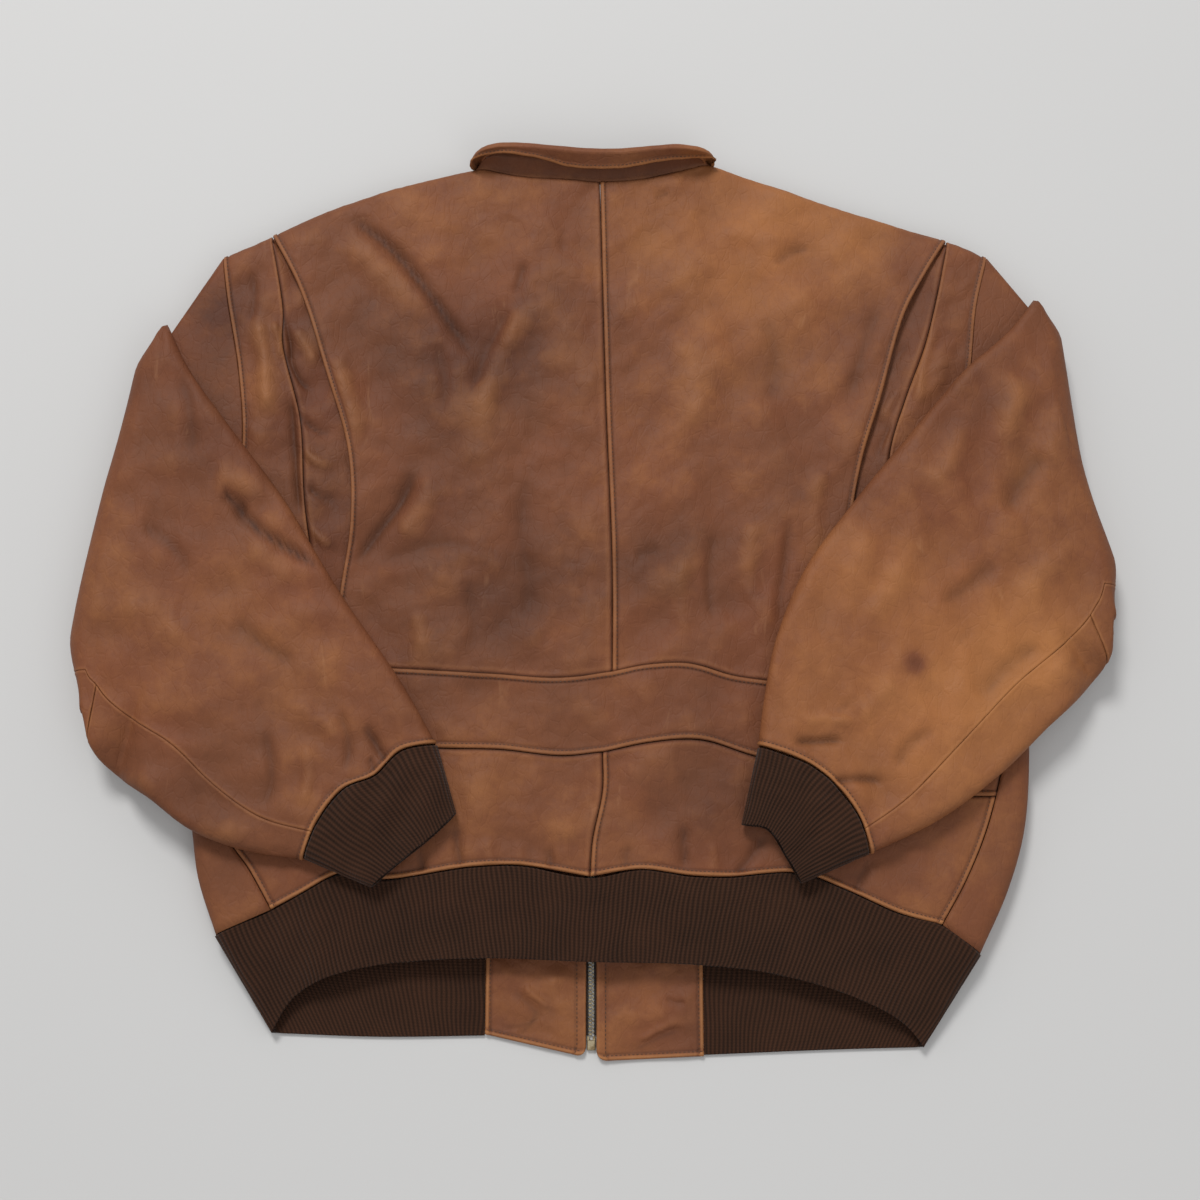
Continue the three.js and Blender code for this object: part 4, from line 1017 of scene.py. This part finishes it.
# %% Collar
COLLAR = dict(
    seam_back=Line([-110, 384], [-70, 375], [-35, 373], [0, 370], [44, 374], [98, 388]),
    seam_front=Line([-110, 384], [-92, 352], [-55, 334], [ZIP_X, 330], [42, 334], [78, 352], [98, 388]),
    roll_back=Line([-110, 391], [-98, 396], [-86, 397], [-34, 393], [0, 391], [45, 393], [75, 395], [90, 393],
                   [98, 392]),
    roll_front=Line([-110, 391], [-90, 390], [0, 388], [80, 390], [98, 392]),
    edge_back=Line([-110, 385], [-90, 387], [-60, 383], [-26, 377], [0, 375], [43, 379], [73, 384], [98, 387]),
    edge_front=Line([-110, 387], [-92, 374], [-55, 360], [ZIP_X, 356], [42, 360], [78, 374], [98, 390]))
COLLAR_ENDS, COLLAR_ROLL, COLLAR_OPEN, COLLAR_LEAN = 17.0, 5.0, 6.0, 0.09
RISE_BACK, RISE_SIDE, RISE_FRONT = 14.0, -5.0, -10.0
NECK_LEFT, NECK_RIGHT = -110.0, 98.0


def collar_grids():
    wide, middle = NECK_RIGHT - NECK_LEFT, (NECK_LEFT + NECK_RIGHT) / 2
    to_zip = math.pi * EDGE / 2 + wide / 2 - EDGE - (ZIP_X - middle)
    round_neck = np.linspace(COLLAR_ENDS - to_zip, way_round(wide, EDGE) - to_zip - COLLAR_ENDS, 170)
    across, high = on_loop(round_neck, wide, EDGE)
    x = NECK_LEFT + wide * across
    w = (high + 1) / 2
    y = lambda key: (1 - w) * COLLAR[key + "_front"].y_at(x) + w * COLLAR[key + "_back"].y_at(x)
    seam, roll, edge = y("seam"), y("roll"), y("edge")
    rise = RISE_SIDE + np.where(high > 0, RISE_BACK - RISE_SIDE, RISE_SIDE - RISE_FRONT) * high
    tip = np.sqrt(np.clip(1 - high**2, 0, 1)) * np.where(across < 0.5, -1, 1)

    def at(py, out, lean=1.0):
        return np.stack([middle + (x - middle) * (1 - COLLAR_LEAN * lean) + tip * out, py,
                         EDGE + EDGE * high + high * out], -1)

    turn = roll - COLLAR_ROLL - 1
    stand_shares = np.linspace(0, 1, 16)
    under_roll = 2.8 * smooth((stand_shares - 0.6) / 0.3)
    stand = [at(seam - 2.5, np.full(len(x), -2.6), 0.0), at(seam - 0.6, np.full(len(x), -1.2), 0.0)]
    stand = np.array(stand + [at(seam + 0.3 + (turn + 1.7 - seam) * t, rise * smooth(t) - 0.1 - sunk, smooth(t))
                              for t, sunk in zip(stand_shares, under_roll)])
    angles = np.linspace(-math.pi / 2, math.pi / 2, 14)
    rolled = [at(turn + np.cos(a) * (COLLAR_ROLL + 1), rise - 2 + (COLLAR_ROLL + 1) * (1 + math.sin(a)))
              for a in angles]
    on_stand = rise * smooth(np.clip((edge - seam) / (turn - seam), 0, 1))
    hem = at(np.minimum(edge, turn - 1), np.minimum(rise + 2 * COLLAR_ROLL, on_stand + 2 + COLLAR_OPEN), 0.6)
    down = (0.15, 0.3, 0.45, 0.6, 0.75, 0.87, 0.94, 1.0)
    fall = np.array(rolled + [rolled[-1] + (hem - rolled[-1]) * t for t in down])
    wobble = (0.5 * np.sin(round_neck / 7.3) + 0.35 * np.sin(round_neck / 2.9 + 1)
              + 0.8 * np.sin(round_neck / 19))
    rows = smooth(np.linspace(0, 1, len(fall)) * 1.2)[:, None]
    fall[..., 1] += wobble * rows * 0.35
    fall[..., 2] += np.clip(high, 0, 1) * np.sin(round_neck / 9 + 2) * 0.7 * rows
    return stand, fall, high


# The whole collar stand is painted darker, as the shade that lies on it under the fall.
STAND_SHADE_TONES = [(0, 380, 300, -0.55)]
stand_grid, fall_grid, neck_high = collar_grids()
stand_flip = (normals_of(stand_grid)[..., 2] * neck_high).sum() < 0
fall_flip = (normals_of(fall_grid)[-8:, :, 2] * neck_high).sum() < 0
panels.append(Panel("collar_stand", stand_grid, dict(low="under"), 201, (), STAND_SHADE_TONES, stand_flip, 0.5))
panels.append(Panel("collar_fall", fall_grid, dict(top="roll"), 203, (), TONES, fall_flip, 0.3))
print("collar points:", stand_grid[..., 0].size + fall_grid[..., 0].size)

# %% [markdown]
# ## Fronts and zip
# The fronts lie on the floor. Below each armhole they wrap up round the side to the side seam. The
# leather panels beside the zip reach below the back's hem, so their insides show, with the zip between
# them.

# %% Fronts and zip panels
FRONT_TONES = [(-330, -150, 80, -0.1)]
for s in SIDES:
    grid = front_panel(s)
    flip = (normals_of(grid)[:, 20:, 2]).sum() > 0
    panels.append(Panel("front_" + s["name"], grid, {}, 61, (), FRONT_TONES, flip, 0.0))
# Each zip panel: outer and inner edge, and the low edge's height at each.
ZIP_PANELS = {"left": (-91.7, ZIP_X - 4.1, -351, -369), "right": (82.7, ZIP_X + 4.1, -368, -372)}
ZIP_PANEL_TOP, ZIP_PANEL_HIGH = -287.6, 3.6
ZIP_TONES = [(-70, -320, 30, 0.25), (-30, -345, 30, 0.1), (40, -330, 40, 0.2), (70, -350, 25, -0.3)]
ZIP_CREASES = [
    ([(-70, -316), (-57, -328), (-45, -340)], 3.4, -1.3), ([(-62, -312), (-50, -323), (-38, -333)], 3.4, 1.0),
    ([(24, -365), (46, -354), (68, -346)], 3.2, -1.5), ([(30, -358), (48, -347), (66, -340)], 4.0, 1.0),
    ([(-80, -345), (-62, -344), (-44, -336)], 3.0, -1.1), ([(-66, -352), (-56, -344), (-50, -330)], 3, -1.0),
    ([(12, -330), (30, -338), (60, -334)], 7, 0.8), ([(52, -322), (60, -326), (70, -326)], 3, -1.0),
    ([(60, -300), (70, -330)], 7, 0.7), ([(-40, -305), (-30, -335)], 8, 0.8)]
CORNER = 9.0
for side, (outer, inner, outer_y, inner_y) in ZIP_PANELS.items():
    us, vs = shares(85, 1.3), shares(80, 1.3)
    u, v = np.meshgrid(us, vs)
    low = outer_y + (inner_y - outer_y) * u
    plan = np.stack([outer + (inner - outer) * u, ZIP_PANEL_TOP + (low - ZIP_PANEL_TOP) * v], -1)
    # The low corner by the zip is rounded.
    toward = np.sign(inner - outer)
    p = np.clip(1 - (inner - plan[..., 0]) * toward / CORNER, 0, 1)
    q = np.clip(1 - (plan[..., 1] - low) / CORNER, 0, 1)
    plan[..., 0] += toward * CORNER * (p * np.sqrt(1 - q * q / 2) - p)
    plan[..., 1] -= CORNER * (q * np.sqrt(1 - p * p / 2) - q)
    grid = with_height(plan, np.full(u.shape, ZIP_PANEL_HIGH))
    flip = normals_of(grid)[..., 2].mean() < 0
    panels.append(Panel("zip_panel_" + side, grid, dict(left="roll", right="turned", top="roll"), 81,
                        ZIP_CREASES, ZIP_TONES, flip, 1.0, lowest=LEATHER_WALL + LOWEST))
print("all panels:", len(panels))

# %% [markdown]
# ## Finishes
# A finish is worked out like a sum: noise at several sizes, how rubbed a place is, how much shade is
# painted on it and how its colour drifts are added up, and the total picks a colour between dark, middle
# and light. Bumps come from the same noise.

# %% A shader socket that works like a number
class Knot:
    """One output of a shader node. Sums and products of knots make Math nodes."""

    def __init__(self, paint, socket):
        self.paint, self.socket = paint, socket

    def _math(self, kind, a, b=None):
        return self.paint.node("ShaderNodeMath", dict(operation=kind), {0: a, **({} if b is None else {1: b})})

    def __add__(self, other):
        return self._math("ADD", self, other)

    def __radd__(self, other):
        return self._math("ADD", other, self)

    def __sub__(self, other):
        return self._math("SUBTRACT", self, other)

    def __rsub__(self, other):
        return self._math("SUBTRACT", other, self)

    def __mul__(self, other):
        return self._math("MULTIPLY", self, other)

    def __rmul__(self, other):
        return self._math("MULTIPLY", other, self)

    def clamp(self):
        return self.paint.node("ShaderNodeClamp", {}, {0: self})

    def ramp(self, low, high):
        return self.paint.node("ShaderNodeMapRange", dict(interpolation_type="SMOOTHSTEP"),
                               {0: self, 1: low, 2: high, 3: 0.0, 4: 1.0})


class Paint:
    """A material under construction."""

    def __init__(self, name):
        self.material = bpy.data.materials.new(name)
        self.material.use_nodes = True
        self.tree = self.material.node_tree
        self.shader = self.tree.nodes["Principled BSDF"]
        self.place = self.node("ShaderNodeTexCoord", {}, {}, "Object")

    def node(self, kind, settings, values, out=0):
        made = self.tree.nodes.new(kind)
        for key, value in settings.items():
            setattr(made, key, value)
        for key, value in values.items():
            if isinstance(value, Knot):
                self.tree.links.new(value.socket, made.inputs[key])
            else:
                made.inputs[key].default_value = value
        return Knot(self, made.outputs[out])

    def scaled(self, x, y, z, turn=0.0):
        return self.node("ShaderNodeMapping", {}, {0: self.place, 2: (0, 0, turn), 3: (x, y, z)})

    def noise(self, scale, detail=3.0, rough=0.55, bend=0.0, place=None):
        return self.node("ShaderNodeTexNoise", {}, {
            "Vector": place or self.place, "Scale": scale, "Detail": detail, "Roughness": rough,
            "Distortion": bend})

    def cells(self, scale, feature="F1", place=None):
        return self.node("ShaderNodeTexVoronoi", dict(feature=feature), {
            "Vector": place or self.place, "Scale": scale}, "Distance")

    def attribute(self, name):
        return self.node("ShaderNodeAttribute", dict(attribute_name=name), {}, "Fac")

    def uv(self):
        return self.node("ShaderNodeUVMap", dict(uv_map="UVMap"), {})

    def mix(self, share, a, b):
        return self.node("ShaderNodeMix", dict(data_type="RGBA"), {0: share, 6: a, 7: b}, 2)

    def bump(self, height, strength, distance, under=None):
        values = {"Height": height, "Strength": strength, "Distance": distance}
        if under:
            values["Normal"] = under
        return self.node("ShaderNodeBump", {}, values)

    def set(self, **values):
        for key, value in values.items():
            socket = self.shader.inputs[key.replace("_", " ")]
            if isinstance(value, Knot):
                self.tree.links.new(value.socket, socket)
            else:
                socket.default_value = value
        return self.material


def colour(red, green, blue):
    """A colour given as 0 to 255 on screen, as the shader's linear light."""
    def line(c):
        c /= 255
        return c / 12.92 if c <= 0.04045 else ((c + 0.055) / 1.055) ** 2.4
    return (line(red), line(green), line(blue), 1.0)


print("mid brown as light:", [round(c, 3) for c in colour(113, 67, 41)])

# %% [markdown]
# ## Leather
# The hide was dyed through and then finished. It is rubbed to tan on its edges and ridges, and shade is
# painted darker into its grooves and crease valleys. Grain is a pattern of tiny cells, and fine wrinkles
# run between them. Large slow noise makes ruddy and greyed areas, as in a hide that has seen wear,
# wetting and drying.

# %% Leather
def leather(name, shift, red=0.0):
    """Old goatskin. shift makes a whole piece lighter or darker, and red makes it ruddier."""
    p = Paint(name)
    worn, tone = p.attribute("worn"), p.attribute("tone")
    broad, middle = p.noise(9, 3), p.noise(42, 5, 0.6)
    small, fine = p.noise(210, 4, 0.65), p.noise(1100, 3, 0.6)
    total = (0.47 + shift) + tone * 0.42 + (broad - 0.5) * 0.8 + (middle - 0.5) * 0.28 + (small - 0.5) * 0.16
    rubbed = (worn * 0.95 + (middle - 0.55) * 0.5).clamp()
    # Painted shade: where the attribute is below 0, in grooves, crease valleys and low places.
    painted_groove_shade = (worn * -1.0).clamp()
    dark, mid, light = colour(74, 41, 25), colour(113, 67, 41), colour(158, 102, 57)
    low = p.mix((total * 2.0).clamp(), dark, mid)
    base = p.mix((total * 2.0 - 1.0).clamp(), low, light)
    ruddy = (p.noise(11, 2) - 0.45) * 1.5 + red
    base = p.mix(ruddy.clamp() * 0.4, base, colour(122, 62, 37))
    grey = (p.noise(17, 3) - 0.58) * 2.0
    base = p.mix(grey.clamp() * 0.4, base, colour(98, 68, 52))
    base = p.mix(rubbed * 0.6, base, colour(178, 121, 72))
    # The painted shade darkens the colour towards a near-black brown.
    base = p.mix(painted_groove_shade * 0.7, base, colour(44, 26, 19))
    pits = p.cells(1250)
    speck = (fine - 0.5) * 1.5 + (pits - 0.45) * 0.55
    base = p.mix((speck * -1.0).clamp() * 0.35, base, colour(52, 31, 23))
    scuffs = p.noise(60, 4, 0.7, 0.6, p.scaled(1, 0.18, 1, 0.5)).ramp(0.62, 0.74)
    scuffs = scuffs * p.noise(20, 2).ramp(0.45, 0.6)
    base = p.mix(scuffs * 0.12, base, colour(186, 138, 98))
    wrinkle = p.noise(95, 5, 0.62, 0.8)
    creases = p.cells(120, "DISTANCE_TO_EDGE", p.scaled(1, 0.55, 1, 0.3)).ramp(0.0, 0.09)
    height = p.bump(wrinkle, 0.55, 0.0011)
    height = p.bump(creases + middle * 0.8, 0.28, 0.0006, height)
    height = p.bump(pits * -1.0 + fine * 0.6, 0.38, 0.00022, height)
    rough = 0.62 + (middle - 0.5) * 0.3 - rubbed * 0.08 + (fine - 0.5) * 0.15
    return p.set(Base_Color=base, Roughness=rough.clamp(), Normal=height, Specular_IOR_Level=0.22)


FINISH = dict(leather_brown=leather("leather_brown", 0.0), leather_tan=leather("leather_tan", 0.03, 0.1),
              leather_dark=leather("leather_dark", -0.12, 0.15), leather_panel=leather("leather_panel", 0.06))
print("leathers:", list(FINISH))

# %% [markdown]
# ## Knit, thread, tape and metal
# The knit is wool, so it is matt, with a little fuzz. The thread is a shade darker than the leather. The
# zip's tape is a dark weave, and its metal is dulled brass with darker patches of tarnish.

# %% Knit, thread, tape and metal
def knit(name):
    """Ribbed wool: the valleys between the ribs are painted darker as shade and the tops lighter, and the loops
    show as fine rows.
    """
    p = Paint(name)
    rib = p.attribute("rib")
    fuzz, patch = p.noise(1500, 4, 0.7), p.noise(24, 3)
    loops = p.node("ShaderNodeTexWave", dict(wave_type="BANDS", bands_direction="Y"), {
        "Vector": p.uv(), "Scale": 130.0, "Distortion": 1.4, "Detail": 2.0, "Detail Scale": 3.0})
    # The rib attribute paints the valleys between the ribs darker, as shade.
    share = (rib * 0.75 + (patch - 0.5) * 0.6 + (fuzz - 0.5) * 0.7).clamp()
    base = p.mix(share, colour(38, 23, 14), colour(68, 42, 28))
    height = p.bump(loops, 0.5, 0.0005)
    height = p.bump(fuzz, 0.6, 0.0006, height)
    return p.set(Base_Color=base, Roughness=0.95, Normal=height, Sheen_Weight=0.08, Specular_IOR_Level=0.12)


def thread(name):
    p = Paint(name)
    base = p.mix(p.noise(70, 3), colour(52, 33, 23), colour(92, 60, 40))
    return p.set(Base_Color=base, Roughness=0.75)


def tape(name):
    p = Paint(name)
    weave = p.node("ShaderNodeTexWave", dict(bands_direction="DIAGONAL"), {"Vector": p.place, "Scale": 300.0})
    base = p.mix((p.noise(300, 3) - 0.5) * 0.8 + weave * 0.5, colour(30, 21, 16), colour(58, 42, 32))
    return p.set(Base_Color=base, Roughness=0.92, Normal=p.bump(weave, 0.4, 0.0003))


def metal(name):
    """Old zip metal: dulled, with darker, rougher tarnish in patches."""
    p = Paint(name)
    tarnish = p.noise(160, 4, 0.65).ramp(0.35, 0.7)
    base = p.mix(tarnish, colour(186, 172, 140), colour(120, 100, 70))
    return p.set(Base_Color=base, Metallic=0.85, Roughness=0.34 + tarnish * 0.3,
                 Normal=p.bump(p.noise(900, 3), 0.25, 0.0002))


FINISH.update(knit=knit("knit"), zip_tape=tape("zip_tape"), zip_metal=metal("zip_metal"))
THREAD = thread("thread")
print("finishes:", len(FINISH) + 1)

# %% [markdown]
# ## Laying the panels out
# Every panel becomes a sheet with a real thickness and the finish of its part of the jacket. The gussets
# were hidden from light and rubbing, so they are darker, and the sleeves are the most faded.

# %% Build the sheets
SLOTS = dict(back="leather_brown", lower="leather_brown", front="leather_brown", under="leather_brown",
             gusset="leather_dark", side="leather_tan", sleeve="leather_tan", belt="leather_brown",
             zip="leather_panel", collar_stand="leather_brown", collar_fall="leather_tan")


def slot_of(name):
    return SLOTS.get(name) or SLOTS[name.split("_")[0]]


SHEETS = []
for panel in panels:
    slot = slot_of(panel.name)
    made = lay_sheet(panel.name + "_leather", panel.grid, panel.flip,
                     [("worn", panel.worn), ("tone", panel.tone)], LEATHER_WALL, FINISH[slot])
    SHEETS.append((made, panel, slot))
print("sheets:", len(SHEETS), "faces:", sum(len(m.data.polygons) for m, _, _ in SHEETS))

# %% [markdown]
# ## Building the knit
# The waistband's ribs are laid out evenly by its length along the middle row. Ribs flatten where the
# knit is sewn to the leather, and under the jacket, where its weight lies on them.

# %% Build the knit
KNITS = []
for s in SIDES:
    grid, flip, rib = cuff_grid(s)
    made = lay_sheet("cuff_" + s["name"] + "_rib", grid, flip, [("rib", rib)], RIB_WALL, FINISH["knit"])
    KNITS.append((made, grid))
grid, above = band_grid()
flip = (normals_of(grid)[..., 2] * above).sum() < 0
steps = np.linalg.norm(np.diff(grid[len(grid) // 2], axis=0), axis=-1)
along = np.concatenate([[0], np.cumsum(steps)])
band_ribs = int(steps.sum() / RIB_PITCH)
even = np.linspace(0, steps.sum(), band_ribs * RIB_POINTS)
grid = np.stack([np.stack([np.interp(even, along, row[:, k]) for k in range(3)], -1) for row in grid])
soften = (0.35 + 0.65 * smooth(np.linspace(0, 1, len(grid)) / 0.15))[:, None]
soften = soften * np.clip(grid[..., 2] / 3, 0, 1)
ribbed_grid, rib = ribbed(grid, flip, band_ribs, 5, soften)
made = lay_sheet("waistband_rib", ribbed_grid, flip, [("rib", rib)], RIB_WALL, FINISH["knit"])
KNITS.append((made, grid))
print("knit faces:", sum(len(m.data.polygons) for m, _ in KNITS), "band round:", round(steps.sum()), "mm")

# %% [markdown]
# ## Stitching
# Each stitch is a short swollen piece of thread lying in its own dent. A welt, a rolled edge and a
# turned one each have one row, at the distance that their kind of edge gives. A row is built as one mesh
# for each panel.

# %% Stitches
STITCH_PITCH, STITCH_LONG, STITCH_WIDE, STITCH_HIGH = 3.4, 2.6, 0.38, 0.3
STITCH_SIDES, STITCH_SWELL, STITCH_SUNK = 5, 0.95, 0.25


def stitch_row(points, inner, trim=3.0):
    """Centres, directions and outward normals of the stitches along a line of points."""
    walk = np.concatenate([[0], np.cumsum(np.linalg.norm(np.diff(points, axis=0), axis=1))])
    if walk[-1] < 4 * trim:
        return None
    at = np.arange(trim, walk[-1] - trim, STITCH_PITCH)
    place = np.stack([np.interp(at, walk, points[:, k]) for k in range(3)], -1)
    ahead = np.stack([np.interp(at + 0.6, walk, points[:, k]) for k in range(3)], -1)
    side = np.stack([np.interp(at, walk, inner[:, k]) for k in range(3)], -1) - place
    run = ahead - place
    run /= np.linalg.norm(run, axis=1, keepdims=True)
    out = np.cross(run, side)
    out /= np.linalg.norm(out, axis=1, keepdims=True) + 1e-9
    return place, run, out


def stitch_mesh(rows):
    """Points and faces of all stitches: each is a tip, two rings and a tip."""
    place, run, out = (np.concatenate([r[k] for r in rows]) for k in range(3))
    side = np.cross(out, run)
    n = STITCH_SIDES
    tips = [place + run * STITCH_LONG / 2 * end - out * STITCH_SUNK for end in (-1, 1)]
    rings = [place + run * STITCH_LONG * end + side * math.cos(a) * STITCH_WIDE * STITCH_SWELL
             + out * (math.sin(a) * STITCH_HIGH * STITCH_SWELL + 0.06)
             for end in (-0.26, 0.26) for a in np.arange(n) * 2 * math.pi / n]
    points = np.stack([tips[0], *rings, tips[1]], 1).reshape(-1, 3)
    faces = []
    for k in range(n):
        m = (k + 1) % n
        faces += [(0, 1 + m, 1 + k), (1 + k, 1 + m, 1 + n + m, 1 + n + k), (1 + n + k, 1 + n + m, 1 + 2 * n)]
    each = 2 * n + 2
    return points, [tuple(i + each * j for i in f) for j in range(len(place)) for f in faces]


def stitch_rows(panel):
    """The rows of stitches on a panel, each facing out as the panel does at the row's middle stitch."""
    rows = []
    outward = (normals_of(panel.grid) * (-1 if panel.flip else 1)).reshape(-1, 3)
    for side, kind in panel.edges.items():
        row = "row" in EDGE_KINDS[kind] and stitch_row(*panel.edge_line(side, EDGE_KINDS[kind]["row"]))
        if row:
            place, run, out = row
            middle = len(place) // 2
            nearest = np.linalg.norm(panel.grid.reshape(-1, 3) - place[middle], axis=1).argmin()
            rows.append((place, run, -out if (outward[nearest] * out[middle]).sum() < 0 else out))
    return rows


threads = {}
for made, panel, slot in SHEETS:
    rows = stitch_rows(panel)
    if rows:
        sewn = threads[panel.name] = build_mesh("stitches_" + panel.name, *stitch_mesh(rows), THREAD)
        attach(sewn, "root")
print("stitched panels:", len(threads), "stitch faces:", sum(len(o.data.polygons) for o in threads.values()))

# %% [markdown]
# ## What each sheet is
# Every piece stands for its solid in the frame and says how it was cut and what it rests on. The length
# and width are measured over the panel as it lies, round its curves, which is what was cut.

# %% Say what each sheet is
CUTS = []


def flat_area(grid):
    a = np.cross(grid[1:, 1:] - grid[:-1, :-1], grid[1:, :-1] - grid[:-1, 1:])
    return 0.5 * np.linalg.norm(a, axis=-1).sum() * MM * MM


def declare(made, name, grid):
    gaps = edge_gaps(grid)
    wide, long = (gaps["left"][:, -1].max() + 0.5) * MM, (gaps["low"][-1].max() + 0.5) * MM
    area = min(flat_area(grid), wide * long)
    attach(made, "root")
    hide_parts(name)
    CUTS.append((name, round(wide * 1000), round(long * 1000), round(area * 1e4)))


for made, panel, slot in SHEETS:
    side = "left" if "left" in panel.name else "right"
    declare(made, panel.name, panel.grid)
for made, grid in KNITS:
    node = made.name.replace("_rib", "").split(".")[0]
    declare(made, node, grid)
print("cut sizes, mm and cm2:", CUTS)

# %% [markdown]
# ## Zip
# The teeth sit on the two tapes, half a pitch apart, each a small block with eased corners. One tooth is
# made and repeated by the Array modifier. The box holds the two pins at the foot. The slider and its
# pull tab keep their own solids from the frame, so the tab turns on its pin.

# %% Zip
ZIP_LOW, ZIP_TOP, TOOTH_PITCH = -352.0, 320.0, 3.0


def block(name, low, high, ease=0.0003, repeat=0, pitch=0.0):
    """A block with eased edges between two corners in millimetres, repeated along the zip if asked."""
    low, high = np.array(low, float), np.array(high, float)
    low[1] -= MIDDLE_Y
    high[1] -= MIDDLE_Y
    bpy.ops.object.select_all(action="DESELECT")
    bpy.ops.mesh.primitive_cube_add(size=1, location=tuple((low + high) / 2 * MM))
    made = bpy.context.object
    made.name = name
    made.scale = tuple((high - low) * MM)
    bpy.ops.object.transform_apply(location=False, rotation=False, scale=True)
    if ease:
        eased = made.modifiers.new("eased", "BEVEL")
        eased.width, eased.segments = ease, 1
        bpy.ops.object.modifier_apply(modifier="eased")
    if repeat:
        row = made.modifiers.new("row", "ARRAY")
        row.count, row.use_relative_offset, row.use_constant_offset = repeat, False, True
        row.constant_offset_displace = (0, pitch * MM, 0)
        bpy.ops.object.modifier_apply(modifier="row")
    bpy.ops.object.transform_apply(location=True, rotation=True, scale=True)
    return made


def joined(name, parts, slot, node):
    bpy.ops.object.select_all(action="DESELECT")
    for p in parts:
        p.select_set(True)
    bpy.context.view_layer.objects.active = parts[0]
    bpy.ops.object.join()
    made = bpy.context.object
    made.name = name
    made.data.materials.clear()
    made.data.materials.append(FINISH[slot])
    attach(made, "root")
    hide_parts(node)
    return made


count = int((ZIP_TOP - ZIP_LOW - 2) / TOOTH_PITCH)
teeth = []
for sign, offset, top, reach in ((-1, 0.3, 2.2, 0.6), (1, 0.3 + TOOTH_PITCH / 2, 1.4, -0.7)):
    start = ZIP_LOW + offset
    head = sorted((ZIP_X - sign * reach, ZIP_X + sign * 2.2))
    teeth.append(block("tooth", (head[0], start, 0.05), (head[1], start + 1.4, top), repeat=count,
                       pitch=TOOTH_PITCH))
joined("zip_teeth", teeth, "zip_metal", "zip_chain")
box = [block("box", (ZIP_X - 3.4, ZIP_LOW - 11.5, 0.1), (ZIP_X + 3.4, ZIP_LOW - 3.5, 3.3), 0.0007),
       block("pin", (ZIP_X - 3.4, ZIP_LOW - 4.5, 0.4), (ZIP_X - 1.4, ZIP_LOW - 0.4, 2.8), 0.0004),
       block("pin", (ZIP_X + 1.2, ZIP_LOW - 4.5, 0.4), (ZIP_X + 3.4, ZIP_LOW - 0.4, 2.8), 0.0004)]
joined("zip_end", box, "zip_metal", "zip_box")
for side, sign in (("left", -1), ("right", 1)):
    x = sorted((ZIP_X + sign * 2.3, ZIP_X + sign * 5.4))
    strip = block("tape_" + side, (x[0], ZIP_LOW, 0.2), (x[1], ZIP_TOP, 1.0), 0.0)
    joined("zip_tape_cloth_" + side, [strip], "zip_tape", "zip_tape_" + side)
for node in ("zip_slider", "zip_pull_tab"):
    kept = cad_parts[node]
    kept = bpy.data.objects[kept] if isinstance(kept, str) else kept
    kept.data.materials.clear()
    kept.data.materials.append(FINISH["zip_metal"])
print("teeth:", 2 * count)
